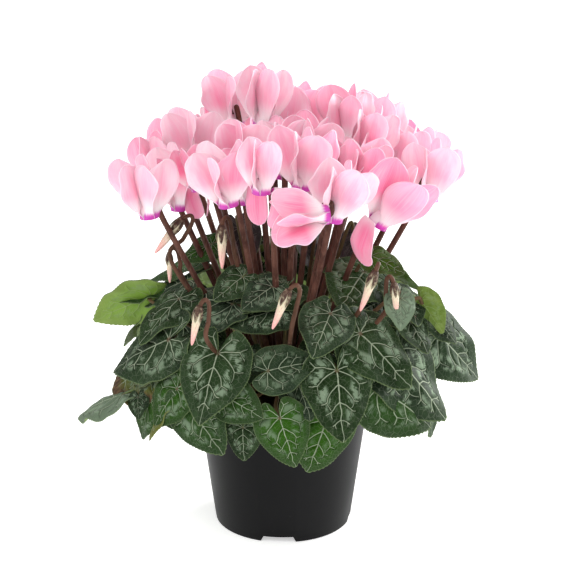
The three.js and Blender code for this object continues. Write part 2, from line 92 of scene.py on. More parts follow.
def placed(name, data):
    made = bpy.data.objects.new(name, data)
    scene.collection.objects.link(made)
    return made


towards = Vector((0, math.cos(ELEVATION), -math.sin(ELEVATION)))
camera = placed("camera", bpy.data.cameras.new("camera"))
camera.data.lens = LENS
camera.data.sensor_width = SENSOR
camera.location = TARGET - DISTANCE * towards
camera.rotation_euler = towards.to_track_quat("-Z", "Y").to_euler()
scene.camera = camera
scene.view_settings.view_transform = "Standard"

world = bpy.data.worlds.new("studio")
world.use_nodes = True
nodes, links = world.node_tree.nodes, world.node_tree.links
outlook = nodes.new("ShaderNodeTexCoord")
split = nodes.new("ShaderNodeSeparateXYZ")
sides = nodes.new("ShaderNodeMapRange")
links.new(outlook.outputs["Generated"], split.inputs[0])
links.new(split.outputs["X"], sides.inputs["Value"])
for key, value in SKY.items():
    sides.inputs[key].default_value = value
links.new(sides.outputs["Result"], nodes["Background"].inputs["Strength"])
nodes["Background"].inputs["Color"].default_value = (1.0, 1.0, 1.0, 1.0)
scene.world = world


def soft_light(name, place, size, power):
    lamp = bpy.data.lights.new(name, "AREA")
    lamp.shape = "DISK"
    lamp.size = size
    lamp.energy = power
    holder = placed(name, lamp)
    holder.location = place
    holder.rotation_euler = (TARGET - holder.location).to_track_quat("-Z", "Y").to_euler()


soft_light("key", (-0.9, -1.1, 1.5), size=0.9, power=12)
soft_light("side", (1.0, 0.75, 0.4), size=0.6, power=22)
print("camera at", tuple(round(c, 3) for c in camera.location))

# %% [markdown]
# ## Shader sums
#
# Finishes are easier to read as sums than as node diagrams. A `Wire` wraps one socket: adding or
# multiplying wires adds Math nodes, and the reflected forms let a plain number stand on the left. A
# `Finish` is a material: it sets what is the same all over straight on the shader, makes every other
# node through one method, and paints its base colour in coats, each laid over the last by a share.


# %% Wires and finishes
def maths_node(operation):
    return lambda wire, *others: wire.maths(operation, *others)


class Wire:
    def __init__(self, finish, socket):
        self.finish = finish
        self.socket = socket

    def maths(self, operation, *others):
        return self.finish.node("ShaderNodeMath", {"operation": operation}, [self, *others])

    def __rsub__(self, other):
        return self.finish.node("ShaderNodeMath", {"operation": "SUBTRACT"}, [other, self])

    def rise(self, low, high):
        """0 below low, 1 above high, and a smooth step between them."""
        settings = {"interpolation_type": "SMOOTHSTEP"}
        return self.finish.node("ShaderNodeMapRange", settings, [self, low, high, 0.0, 1.0])

    def fall(self, low, high):
        """1 below low, 0 above high."""
        return 1 - self.rise(low, high)

    __add__ = __radd__ = maths_node("ADD")
    __sub__ = maths_node("SUBTRACT")
    __mul__ = maths_node("MULTIPLY")
    __pow__ = maths_node("POWER")
    __abs__ = maths_node("ABSOLUTE")
    least = maths_node("MINIMUM")
    most = maths_node("MAXIMUM")


class Finish:
    def __init__(self, name, **constants):
        self.material = bpy.data.materials.new(name)
        self.material.use_nodes = True
        self.tree = self.material.node_tree
        self.shader = self.tree.nodes["Principled BSDF"]
        self.set(**constants)

    def set(self, **values):
        """Gives the shader's sockets plain values or wires."""
        for socket, value in values.items():
            self.feed(self.shader.inputs[socket.replace("_", " ")], value)

    def feed(self, socket, value):
        if isinstance(value, Wire):
            self.tree.links.new(value.socket, socket)
        elif isinstance(value, tuple) and socket.type == "RGBA":
            socket.default_value = (*value, 1.0)
        else:
            socket.default_value = value

    def node(self, kind, settings, inputs, output=0):
        made = self.tree.nodes.new(kind)
        for name, value in settings.items():
            setattr(made, name, value)
        pairs = inputs.items() if isinstance(inputs, dict) else enumerate(inputs)
        for key, value in pairs:
            self.feed(made.inputs[key], value)
        return Wire(self, made.outputs[output])

    def mix(self, share, one, other):
        return self.node("ShaderNodeMix", {"data_type": "RGBA"}, {0: share, 6: one, 7: other}, 2)

    def stored(self, name):
        return self.node("ShaderNodeAttribute", {"attribute_name": name}, [], "Fac")

    def place(self, x, y, z=0.0):
        return self.node("ShaderNodeCombineXYZ", {}, [x, y, z])

    def body(self):
        return self.node("ShaderNodeTexCoord", {}, [], "Object")

    def speckle(self, where, scale, detail=3.0, seed=0.0):
        inputs = {"Vector": where, "W": seed, "Scale": scale, "Detail": detail}
        return self.node("ShaderNodeTexNoise", {"noise_dimensions": "4D"}, inputs)

    def bump(self, height, distance):
        self.set(Normal=self.node("ShaderNodeBump", {}, {"Distance": distance, "Height": height}))

    def paint(self, base, *coats):
        """Lays coats of colour over a base, each by its share."""
        for share, colour in coats:
            base = self.mix(share, base, colour)
        self.set(Base_Color=base)
        return base


# %% [markdown]
# ## Sheets, tubes and turned forms
#
# Nearly everything on the plant is one of three forms. A petal or a leaf is a sheet: a grid of points
# given thickness afterwards. A stalk is a tube along a smooth curve. The pot and the buds are turned.
# The helpers below make these, and a mesh object that carries named numbers for its finish, such as how
# far along a petal a point lies.


# %% Mesh helpers
def grid_faces(rows, columns, around=False, ends=False, turned_over=False):
    """Quads between the points of a grid, which may close on itself across its columns and at its ends."""
    last = columns if around else columns - 1
    row, column = np.meshgrid(np.arange(rows - 1), np.arange(last), indexing="ij")
    here, beside = row * columns + column, row * columns + (column + 1) % columns
    faces = np.stack([here, beside, beside + columns, here + columns], -1).reshape(-1, 4).tolist()
    if ends:
        faces += [list(range(columns))[::-1], list(range((rows - 1) * columns, rows * columns))]
    return [face[::-1] for face in faces] if turned_over else faces


class Form:
    """Points in millimetres, their faces, and named numbers that a finish reads at each point."""

    def __init__(self):
        self.points = []
        self.faces = []
        self.numbers = {}
        self.count = 0

    def add(self, points, faces, **numbers):
        points = np.asarray(points, float).reshape(-1, 3)
        self.points.append(points)
        self.faces += [[corner + self.count for corner in face] for face in faces]
        for name, value in numbers.items():
            values = np.ravel(value).astype(float)
            self.numbers.setdefault(name, []).append(np.broadcast_to(values, len(points)))
        self.count += len(points)

    def piece(self, name, finish, nodes, thickness=None, below=None):
        mesh = bpy.data.meshes.new(name)
        mesh.from_pydata((np.concatenate(self.points) * MM).tolist(), [], self.faces)
        for label, parts in self.numbers.items():
            layer = mesh.attributes.new(label, "FLOAT", "POINT")
            layer.data.foreach_set("value", np.concatenate(parts))
        mesh.materials.append(finish.material)
        mesh.shade_smooth()
        made = placed(name, mesh)
        if thickness:
            shell = made.modifiers.new("thickness", "SOLIDIFY")
            shell.thickness = thickness * MM
            shell.offset = 0
            if below:
                mesh.materials.append(below.material)
                shell.material_offset = 1
        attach(made, "root")
        if nodes:
            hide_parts(*nodes)
        return made


def smooth_step(low, high, x):
    share = np.clip((x - low) / (high - low), 0, 1)
    return share * share * (3 - 2 * share)


def unit(v):
    return v / np.linalg.norm(v)


def curve_through(points, per_span):
    """A Catmull-Rom curve through the points."""
    p = np.asarray(points, float)
    p = np.vstack([2 * p[0] - p[1], p, 2 * p[-1] - p[-2]])
    made = []
    steps = np.arange(per_span) / per_span
    for a, b, c, d in zip(p, p[1:], p[2:], p[3:]):
        square, cube = 2 * a - 5 * b + 4 * c - d, 3 * b - a - 3 * c + d
        made += [0.5 * (2 * b + (c - a) * t + square * t**2 + cube * t**3) for t in steps]
    return np.array([*made, p[-2]])


def circle(count):
    return np.linspace(0, math.tau, count, endpoint=False)


def direction(azimuth, elevation):
    flat = math.cos(elevation)
    return np.array([flat * math.cos(azimuth), flat * math.sin(azimuth), math.sin(elevation)])


def ringed(radius, height, turns):
    """Points at a radius and a height, one for each turn round the axis."""
    return np.stack(np.broadcast_arrays(radius * np.cos(turns), radius * np.sin(turns), height), -1)


def tube(form, path, radii, sides, **numbers):
    """Rings of points along a path, each square to it, with a closed end at both."""
    turns = circle(sides)[:, None]
    normal = np.array([1.0, 0.0, 0.0])
    rings = []
    for place, tangent, radius in zip(path, np.gradient(path, axis=0), radii):
        tangent = unit(tangent)
        normal = unit(normal - tangent * normal.dot(tangent))
        across = np.cross(tangent, normal)
        rings.append(place + radius * (np.cos(turns) * normal + np.sin(turns) * across))
    form.add(np.concatenate(rings), grid_faces(len(path), sides, around=True, ends=True), **numbers)


def turned(form, profile, sides, place=np.eye(3), at=(0, 0, 0), ends=False, **numbers):
    """A profile of radius and height, turned about the third column of a frame of axes."""
    profile = np.asarray(profile, float)
    local = ringed(profile[:, :1], profile[:, 1:], circle(sides)).reshape(-1, 3)
    form.add(local @ place.T + at, grid_faces(len(profile), sides, around=True, ends=ends), **numbers)


def wobble(i):
    """A number from 0 to 1 that looks drawn at random and is the same every time."""
    x = math.sin(i * 12.9898) * 43758.5453
    return x - math.floor(x)


def faces_of(name):
    made = bpy.data.objects[name]
    seen = made.evaluated_get(bpy.context.evaluated_depsgraph_get()).data
    return sum(len(face.vertices) - 2 for face in seen.polygons)


# %% [markdown]
# ## The pot
#
# A nursery pot is one thin moulding of black polypropylene: a conical wall, a stiffening band below the
# lip, a raised floor with drain holes, and a foot ring cut by notches so that water can leave. It is
# turned here from a profile with many more sides than the solid has, with rounded corners, and the
# notches and holes are cut out of it by one Boolean modifier.

# %% Pot sizes
POT = Sizes(height=98, foot_radius=46.2, draft=0.136, wall=1.5, foot_ring=3.0, floor_low=4.8, floor_high=6.4,
            band=15, step=1.3, lip_width=2.2, lip_wall=2.6, lip_depth=4, sides=160, sharp=35)
NOTCH = Sizes(count=4, first=-94, width=20, taper=2.4, height=4.3, inner=35, depth=20)
DRAIN = Sizes(count=6, circle=30, radius=4.5, depth=10, sides=24)
# How near the axis a turned form starts.
AXIS = 0.01


def pot_radius(z):
    return POT.foot_radius + POT.draft * z


def rounded(before, corner, after, reach, steps=4):
    """Points that round a corner off, starting and ending at a reach from it."""
    start = corner + unit(before - corner) * reach
    end = corner + unit(after - corner) * reach
    t = np.linspace(0, 1, steps)[:, None]
    return (1 - t) ** 2 * start + 2 * t * (1 - t) * corner + t * t * end


# %% The pot's finish
pot_finish = Finish("moulded_pot", Specular_IOR_Level=0.1)
where = pot_finish.body()
grain = pot_finish.speckle(where, 900.0, 2.0)
cloud = pot_finish.speckle(where, 22.0)
dust = pot_finish.speckle(where, 260.0, 4.0).rise(0.68, 0.76) * cloud.rise(0.45, 0.65)
pot_finish.paint((0.003, 0.003, 0.0034), (cloud, (0.006, 0.006, 0.0066)), (dust * 0.3, (0.06, 0.058, 0.054)))
pot_finish.set(Roughness=0.36 + cloud * 0.16 + grain * 0.05)
pot_finish.bump(grain + cloud * 0.5, 0.00004)

# %% Pot
lip = pot_radius(POT.height) + POT.step
band_low = POT.height - POT.band
inner = pot_radius(0) - POT.foot_ring
# Radius, height and how far from a corner its rounding starts.
outline = np.array([
    (AXIS, POT.floor_low, 0),
    (inner, POT.floor_low, 0.4),
    (inner, 0, 0.4),
    (pot_radius(0), 0, 1.3),
    (pot_radius(band_low), band_low, 0.5),
    (pot_radius(band_low) + POT.step, band_low + 1, 0.5),
    (lip, POT.height, 0.9),
    (lip - POT.lip_width, POT.height, 0.7),
    (pot_radius(POT.height) - POT.lip_wall, POT.height - POT.lip_depth, 1.0),
    (pot_radius(POT.floor_high) - POT.wall, POT.floor_high, 1.2),
    (AXIS, POT.floor_high, 0),
])
bends, reaches = outline[:, :2], outline[:, 2]
arcs = [rounded(*bends[k - 1 : k + 2], reaches[k]) for k in range(1, len(outline) - 1)]
pot_form = Form()
turned(pot_form, np.vstack([bends[0], *arcs, bends[-1]]), POT.sides, ends=True)
pot = pot_form.piece("pot_moulding", pot_finish, ["pot"])

cutters = bmesh.new()
half = NOTCH.width / 2
corners = [(-half - NOTCH.taper, -1), (half + NOTCH.taper, -1), (half, NOTCH.height), (-half, NOTCH.height)]
for k in range(NOTCH.count):
    turn_by = Matrix.Rotation(math.radians(NOTCH.first + 90 + 360 / NOTCH.count * k), 3, "Z")
    near, far = (
        [cutters.verts.new(turn_by @ Vector((x, y, z)) * MM) for x, z in corners]
        for y in (-NOTCH.inner, -NOTCH.inner - NOTCH.depth)
    )
    cutters.faces.new(near)
    cutters.faces.new(far[::-1])
    for j in range(4):
        cutters.faces.new([near[j], far[j], far[(j + 1) % 4], near[(j + 1) % 4]])
for k in range(DRAIN.count):
    turn_by = Matrix.Rotation(math.tau * k / DRAIN.count, 4, "Z")
    spot = Matrix.Translation(Vector((DRAIN.circle, 0, POT.floor_low)) * MM)
    radius = DRAIN.radius * MM
    bmesh.ops.create_cone(cutters, cap_ends=True, segments=DRAIN.sides, radius1=radius, radius2=radius,
                          depth=DRAIN.depth * MM, matrix=turn_by @ spot)
bmesh.ops.recalc_face_normals(cutters, faces=cutters.faces)
cutter_mesh = bpy.data.meshes.new("cuts")
cutters.to_mesh(cutter_mesh)
cutter = placed("cuts", cutter_mesh)
cut = pot.modifiers.new("cuts", "BOOLEAN")
cut.object = cutter
cut.operation = "DIFFERENCE"
bpy.context.view_layer.update()
cut_mesh = bpy.data.meshes.new_from_object(pot.evaluated_get(bpy.context.evaluated_depsgraph_get()))
pot.modifiers.clear()
pot.data = cut_mesh
bpy.data.objects.remove(cutter)
pot.data.set_sharp_from_angle(angle=math.radians(POT.sharp))
print("pot:", faces_of("pot_moulding"), "triangles")

# %% [markdown]
# ## Soil
#
# Peat soil is a heap of crumbs and short fibres. A lumpy disc gives the heap, and a scatter of small
# crumbs on it, each a squashed and turned grain, gives the broken surface that catches light between the
# stalks. The crumbs are one mesh with the disc, as they would be swept up together.

# %% Soil
SOIL = Sizes(top=86, sunk=1.2, relief=2.4, lump=9, gap=0.6, clear=0.3, rings=34, sides=96)
CRUMB = Sizes(count=900, seed=7, sunk=0.8, area=(0.12, 0.96), length=(0.5, 1.7), width=(0.4, 0.9),
              depth=(0.4, 0.8))
soil_finish = Finish("peat_soil", Roughness=0.95, Specular_IOR_Level=0.2)
where = soil_finish.body()
lumps = soil_finish.speckle(where, 190.0, 6.0)
fibre = soil_finish.speckle(where, 900.0, 4.0)
soil_finish.paint(
    (0.008, 0.005, 0.0035),
    (lumps.rise(0.35, 0.7), (0.045, 0.028, 0.018)),
    (fibre.rise(0.62, 0.72) * 0.6, (0.12, 0.085, 0.055)),
)
soil_finish.bump(lumps + fibre * 0.5, 0.0012)


def soil_height(x, y, sunk):
    place = Vector((x / SOIL.lump, y / SOIL.lump, 3.0))
    return SOIL.top - sunk + SOIL.relief * noise.fractal(place, 0.8, 2.2, 4)


edge = pot_radius(SOIL.top) - POT.wall - SOIL.gap
radii = np.append(np.linspace(AXIS, 1, SOIL.rings) ** 0.8, 1.0)
disc = ringed(radii[:, None] * edge, 0.0, circle(SOIL.sides))
disc[..., 2] = [[soil_height(x, y, SOIL.sunk) for x, y, _ in row] for row in disc]
disc[-1, :, :2] *= (pot_radius(POT.floor_high) - POT.wall - SOIL.gap) / edge
disc[-1, :, 2] = POT.floor_high + SOIL.clear
soil_form = Form()
soil_form.add(disc, grid_faces(len(radii), SOIL.sides, around=True, ends=True, turned_over=True))

GRAIN = np.array([(1, 0, 0), (-1, 0, 0), (0, 1, 0), (0, -1, 0), (0, 0, 1), (0, 0, -1)])
GRAIN_FACES = [(0, 2, 4), (2, 1, 4), (1, 3, 4), (3, 0, 4), (2, 0, 5), (1, 2, 5), (3, 1, 5), (0, 3, 5)]
draw = np.random.default_rng(CRUMB.seed)
for _ in range(CRUMB.count):
    reach = edge * math.sqrt(draw.uniform(*CRUMB.area))
    turn = draw.uniform(0, math.tau)
    length = draw.uniform(*CRUMB.length)
    size = length * np.array([1.0, draw.uniform(*CRUMB.width), draw.uniform(*CRUMB.depth)])
    lean = np.array(Matrix.Rotation(draw.uniform(0, 6), 3, Vector(draw.normal(size=3))))
    x, y = reach * math.cos(turn), reach * math.sin(turn)
    soil_form.add((GRAIN * size) @ lean.T + (x, y, soil_height(x, y, CRUMB.sunk)), GRAIN_FACES)
soil_form.piece("peat", soil_finish, ["soil"])
print("soil:", faces_of("peat"), "triangles")

# %% [markdown]
# ## Where everything grows
#
# The tables below give each bloom, bud and leaf its place. Blooms and buds are given by the middle of the
# mouth or calyx and the way they point. Leaves are placed on a mound, half an ellipsoid, by the azimuth
# and elevation of the stalk joint and of the tip. These are the numbers that the solids were made from,
# but for the last four buds: their hooks are swung round to the side from which their stalks are seen to
# come. Seven more blooms open deep inside the dome, where the solids are too few to fill it.

# %% Places of the blooms and buds
# Mouth centre x, y, z; the way the petals point; turn of the stalk's side; size; openness.
BLOOMS = [
    (-85, -42, 228, -0.12, -0.05, 1, 0, 0.98, 0.95),
    (-67, -8, 223, -0.08, 0, 1, 20, 1, 0.88),
    (-80, 24, 227, -0.16, 0.1, 1, -20, 0.95, 0.7),
    (-68, 60, 228, -0.15, 0.1, 1, 10, 1, 0.88),
    (-34, -60, 241, -0.18, -0.05, 1, 0, 1, 0.92),
    (-55, 23, 241, -0.1, 0.1, 1, 25, 1, 0.88),
    (-33, 60, 260, -0.05, 0.1, 1, 0, 0.98, 0.92),
    (-14, 30, 269, 0.05, 0, 1, 100, 1, 0.6),
    (-24, -16, 246, -0.05, 0.05, 1, -30, 1, 0.9),
    (-13, -78, 255, 0, -0.1, 1, -30, 0.95, 0.45),
    (14, 60, 250, 0, 0.1, 1, 0, 1, 0.9),
    (12, -48, 248, 0.05, 0.05, 1, 15, 1, 1),
    (27, -94, 245, -1, -0.35, 0, -60, 0.9, 1),
    (31, -78, 237, 0.22, -0.1, 1, 0, 0.95, 0.95),
    (60, -44, 223, 0.6, 0, 1, -35, 1.05, 0.95),
    (96, 2, 226, 0.1, 0, 1, 0, 0.95, 0.9),
    (76, 30, 228, 0.12, 0.1, 1, 20, 0.98, 0.88),
    (91, 65, 222, 0.12, 0.1, 1, 0, 0.95, 0.88),
    (42, -12, 233, 0.1, 0.1, 1, -15, 1, 0.95),
    (44, 36, 253, 0, 0.05, 1, 90, 0.98, 0.88),
    (60, 64, 242, 0.1, 0.1, 1, 0, 0.98, 0.88),
    (18, 2, 243, 0, 0.05, 1, 15, 1, 0.9),
    (-30, 96, 232, -0.1, 0.1, 1, 0, 1, 0.88),
    (14, 97, 236, 0, 0.1, 1, 0, 1, 0.88),
    (58, 99, 226, 0.1, 0.1, 1, 0, 1, 0.88),
]
# Top of the calyx x, y, z; the way the hooked end points; turn of the stalk's side; size.
BUDS = [
    (-66, -30, 221, 0.8, 0.1, 1, 0, 1),
    (-74, -24, 196, 0, 0, 1, 0, 0.7),
    (-39, -46, 221, 0, 0, 1, 0, 1),
    (-52, -98, 185, 0.2, 0, 1, -25, 0.9),
    (3, -96, 195, 0.4, 0, 1, -70, 0.95),
    (57, -84, 203, 0.35, 0, 1, -45, 0.95),
    (70, -76, 193, -0.1, 0, 1, 0, 0.8),
]
# Blooms that open inside the dome, seen between the others.
INNER_BLOOMS = [
    (0, 5, 240, 0.05, 0.1, 1, 10, 0.95, 0.7),
    (20, -22, 231, 0, 0.1, 1, -20, 0.9, 0.6),
    (-26, -32, 234, -0.1, 0, 1, 30, 0.9, 0.6),
    (-54, -24, 241, -0.3, 0, 1, -20, 0.8, 0.6),
    (50, -26, 234, 0.1, 0.1, 1, 20, 0.9, 0.7),
    (54, 16, 245, 0.1, 0.1, 1, -30, 0.95, 0.8),
    (-2, 42, 252, 0, 0.1, 1, 15, 1, 0.8),
]
# The hooked ends of the stalks: how far each point lies to the stalk's side of the flower, and above it.
NOD = [(9.8, -7), (8, 5), (4.8, 14.2), (0.6, 14.6), (0, 7.8)]
BUD_NOD = [(14, -26), (10.5, -9), (8.2, 2.5), (4.6, 6.6), (1.5, 5), (0, 0.5)]


class Nodding:
    """A bloom or bud: up points the way the petals do, out to the stalk's side, side across both."""

    def __init__(self, index, row):
        self.index = index
        self.at = np.array(row[:3], float)
        self.up = unit(np.array(row[3:6], float))
        cosine, sine = math.cos(math.radians(row[6])), math.sin(math.radians(row[6]))
        x, y = -self.at[:2]
        out = np.array([x * cosine - y * sine, x * sine + y * cosine, 0.0])
        self.out = unit(out - self.up * out.dot(self.up))
        self.side = np.cross(self.up, self.out)
        self.size, *openness = row[7:]
        self.open = openness[0] if openness else 1.0

    def beside(self, out, up):
        return self.at + self.size * (self.out * out + self.up * up)

    def axes(self):
        return np.stack([self.out, self.side, self.up], 1) * self.size


blooms = [Nodding(index, row) for index, row in enumerate(BLOOMS + INNER_BLOOMS)]
buds = [Nodding(index, row) for index, row in enumerate(BUDS)]

# %% Places of the leaves
# Azimuth, elevation and layer of the stalk joint, the same of the tip, and any roll about the midrib.
LEAVES = [
    (-114, 37, 102, -114, 11, 110),
    (-123, 60, 96, -164, 54, 102),
    (-154, 53, 101, -150, 34, 108),
    (-140, 38, 98, -159, 18, 105),
    (-146, 30, 90, -165, 6, 100),
    (-180, 42, 96, 173, 24, 114, 56),
    (161, 42, 97, 169, 31, 114, -16),
    (172, 57, 96, 163, 36, 104, -10),
    (147, 57, 97, 158, 38, 106, -10),
    (-133, 75, 98, -131, 59, 106),
    (-88, 71, 97, -112, 57, 104),
    (-94, 60, 94, -116, 50, 99),
    (-70, 50, 104, -81, 35, 112),
    (-59, 43, 104, -49, 21, 110),
    (-46, 33, 98, -33, 2, 106),
    (-14, 32, 96, -6, 8, 109),
    (-31, 44, 103, -37, 30, 110),
    (-20, 52, 106, -34, 40, 112),
    (-13, 65, 104, -58, 57, 109),
    (-25, 54, 95, -61, 51, 99),
    (-95, 32, 100, -78, 36, 107),
    (-72, 31, 103, -73, 5, 109),
    (-57, 22, 96, -38, 0, 103),
    (-28, 14, 88, -20, -15, 95),
    (-109, 21, 97, -96, 14, 102),
    (-91, 13, 94, -86, -9, 98),
    (-75, 10, 87, -81, -19, 89),
    (-134, 14, 92, -127, 3, 96),
    (-123, 15, 92, -110, -6, 95),
    (-128, 20, 94, -134, 2, 99),
    (-150, 11, 88, -172, -6, 114.5, 42),
    (34, 55, 102, 24, 38, 108, -14),
    (26, 47, 98, 10, 34, 104, -10),
    (14, 38, 98, 5, 20, 104, -10),
    (2, 27, 96, -2, 8, 104, -14),
    (67, 74, 121, 66, 72, 88, 180),
    (34, 66, 118, 33, 64, 92, 180),
    (128, 71, 119, 130, 69, 88, 180),
]
# The far side, in tiers: count, first and last azimuth, elevations and layers of the joint and the tip.
REAR_TIERS = [(3, 60, 120, 58, 34, 99, 106), (5, 36, 148, 32, 6, 97, 104), (4, 26, 154, 10, -14, 88, 94)]
REAR_SWAY = 10
for count, start, end, high, low, inmost, outmost in REAR_TIERS:
    for k in range(count):
        azimuth = start + (end - start) * k / (count - 1)
        sway = REAR_SWAY * (wobble(k + high) - 0.5)
        lift = 3 if k % 2 else -2
        joint = (azimuth, high + sway, inmost + lift)
        LEAVES.append((*joint, azimuth + 2 * sway, low + sway, outmost + lift))
# Leaves inside the mound, in the same terms.
INNER_LEAVES = [
    (-85, 30, 91, -81, 12, 96),
    (-104, 6, 85, -104, -12, 87),
    (-142, 10, 89, -147, -10, 95),
    (-118, 42, 66, -122, 14, 76),
    (-60, 45, 66, -70, 16, 76),
    (-150, 45, 70, -155, 14, 80),
    (-28, 42, 68, -30, 12, 78),
]
# Small leaves between the others: x, y, z of the joint and of the tip, and the way each faces.
SMALL_LEAVES = [
    ((-26, -42, 187), (-44, -56, 178), (-0.25, -0.85, 0.6)),
    ((-7, -47, 182), (-26, -64, 174), (-0.1, -0.75, 0.7)),
    ((74, -72, 183), (75, -85, 167), (0.25, -0.9, 0.35)),
    ((58, -20, 194), (80, -28, 187), (0.2, -0.5, 0.9)),
    ((-48, 18, 190), (-68, 12, 182), (-0.3, -0.6, 0.8)),
    ((5, 45, 138), (5, 36, 100), (0, -1, 0.2)),
    ((-64, 26, 146), (-72, 10, 112), (-0.3, -1, 0.3)),
    ((-10, 62, 172), (-10, 58, 144), (0, -1, 0.1)),
    ((16, 60, 176), (18, 56, 148), (0, -1, 0.1)),
    ((-50, -30, 128), (-52, -48, 96), (-0.3, -1, 0.3)),
    ((62, -70, 132), (56, -80, 94), (0.1, -0.9, 0.3)),
    ((-94, -58, 110), (-94, -68, 99), (-0.3, -0.9, 0.3)),
    ((-74, -66, 110), (-89, -80, 91), (-0.8, 0.05, 0.6)),
    ((90, -30, 167), (106, -30, 146), (0.1, 0.9, 0.3)),
    ((96, -24, 156), (115, -36, 141), (0.5, -0.5, 0.8)),
    ((-30, 34, 156), (-32, 28, 126), (0, -1, 0.2)),
]
# The mound's half width, half depth and height, where it stands, and how a leaf faces out of it.
MOUND = np.array([124, 112, 90])
MOUND_FOOT = np.array([0, 0, 95])
FACING = Sizes(at=0.4, least_height=25)


def on_mound(azimuth, elevation, layer):
    way = direction(math.radians(azimuth), math.radians(elevation))
    return MOUND * way * layer / 100 + MOUND_FOOT


# %% [markdown]
# ## A leaf's form
#
# A blade is measured in its own length, from the stalk joint to the tip: `u` runs along the midrib and
# `v` across it. Its outline is a distance from a point on the midrib, longer towards the tip and cut in
# at the joint, which makes the heart. The blade bends down along the midrib, droops to both sides and
# waves a little. On the mound some leaves were raised to clear their neighbours, so each one's lift is
# found again by trying the outline against the corners of the solid that it belongs to. A few leaves are
# then shortened, moved or turned a little, as they are seen. Small young leaves stand up between the
# large ones, and a few more hang inside the mound, so that no light comes through it. The solids leave
# both out.

# %% Leaf form
BLADE = Sizes(centre=0.1, side=0.5, tip=0.4, tip_spread=0.5, tip_power=1.15, notch=0.85, notch_spread=0.2,
              crenation=0.025, bend=0.16, droop=0.3, wave=0.035, waves=5, wave_shift=2.4, wave_from=3)


def blade_reach(turn):
    a = np.abs(turn)
    body = BLADE.side + BLADE.tip * np.exp(-((a / BLADE.tip_spread) ** BLADE.tip_power))
    return body * (1 - BLADE.notch * np.exp(-(((math.pi - a) / BLADE.notch_spread) ** 2)))


def blade_place(reach, turn):
    return BLADE.centre + reach * np.cos(turn), reach * np.sin(turn)


def teeth(count, depth):
    """Shares of an outline's reach, with every other point standing out."""
    return 1 + depth * np.where(np.arange(count) % 2, 1, -1)


class Leaf:
    """A blade's place: along points down the midrib, across to one side, facing out of the upper face."""

    def __init__(self, index, joint, tip, facing, roll=0):
        self.index = index
        self.joint = np.array(joint, float)
        along = np.array(tip, float) - self.joint
        self.length = np.linalg.norm(along)
        self.along = unit(along)
        facing = np.array(facing, float)
        self.facing = unit(facing - self.along * facing.dot(self.along))
        self.roll(roll)

    def roll(self, degrees):
        turn = math.radians(degrees)
        self.facing = self.facing * math.cos(turn) + np.cross(self.along, self.facing) * math.sin(turn)
        self.across = np.cross(self.facing, self.along)

    def point(self, u, v, raised=0.0):
        bow = BLADE.bend * u * np.abs(u) + BLADE.droop * v * v
        turn = np.arctan2(v, u - BLADE.centre)
        ripple = BLADE.wave * np.sin(BLADE.waves * turn + BLADE.wave_shift * self.index)
        height = ripple * np.minimum(1, BLADE.wave_from * (u * u + v * v)) - bow + raised
        spot = u[..., None] * self.along + v[..., None] * self.across + height[..., None] * self.facing
        return self.joint + self.length * spot


def mound_leaf(index, row):
    joint, tip = on_mound(*row[:3]), on_mound(*row[3:6])
    middle = joint + (tip - joint) * FACING.at - MOUND_FOOT
    middle[2] = max(FACING.least_height, middle[2])
    return Leaf(index, joint, tip, middle / MOUND**2, *row[6:])


leaves = [mound_leaf(index, row) for index, row in enumerate(LEAVES + INNER_LEAVES)]
leaves += [Leaf(len(leaves) + k, *row) for k, row in enumerate(SMALL_LEAVES)]
print("leaves:", len(leaves))


# %% Leaves held against their solids
OUTLINE_TURNS = np.radians([180, 166, 144, 116, 88, 60, 36, 16, 0, -16, -36, -60, -88, -116, -144, -166])
LIFT_STEP = 1.5
MOST_LIFTS = 12
FAR_OFF = 2 * MM
# Leaves seen otherwise than their solids, by place: share cut at the joint, movement and roll.
ADJUSTED = {
    6: (0, (0, 0, -11), 14),
    7: (0, (6, 0, -14), 0),
    16: (0, (-1, 0, -6), 26),
    31: (0.24, (0, 0, 0), 0),
}


def nodes_of(kind, index):
    """The frame's node that holds a leaf or bloom, from the places that its name gives, or an empty list."""
    place = f"{index + 1:02d}"
    return [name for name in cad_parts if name.startswith(kind) and place in name.split("_")[1:]]


def settle(leaf):
    """Raises a leaf to where its solid lies: the lift at which most outline corners meet the solid's."""
    corners = [vertex.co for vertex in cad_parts[leaf.nodes[0]].data.vertices]
    tree = kdtree.KDTree(len(corners))
    for k, corner in enumerate(corners):
        tree.insert(corner, k)
    tree.balance()
    reach = blade_reach(OUTLINE_TURNS) * teeth(len(OUTLINE_TURNS), BLADE.crenation)
    rim = leaf.point(*blade_place(reach, OUTLINE_TURNS))

    def misfit(lift):
        gaps = [tree.find(Vector((p + leaf.facing * lift * LIFT_STEP) * MM))[2] for p in rim]
        return sum(min(gap, FAR_OFF) for gap in gaps)

    leaf.lift = min(range(MOST_LIFTS + 1), key=misfit)
    leaf.misfit = misfit(leaf.lift)
    leaf.joint = leaf.joint + leaf.facing * leaf.lift * LIFT_STEP


for leaf in leaves:
    leaf.nodes = nodes_of("leaf_", leaf.index)
    if leaf.nodes:
        settle(leaf)
for place, (cut, move, roll) in ADJUSTED.items():
    leaf = leaves[place - 1]
    leaf.joint = leaf.joint + leaf.along * leaf.length * cut + move
    leaf.length *= 1 - cut
    leaf.roll(roll)
print("lifts:", [leaf.lift for leaf in leaves if leaf.nodes])
print("largest misfit, mm:", round(max(leaf.misfit for leaf in leaves if leaf.nodes) / MM, 2))

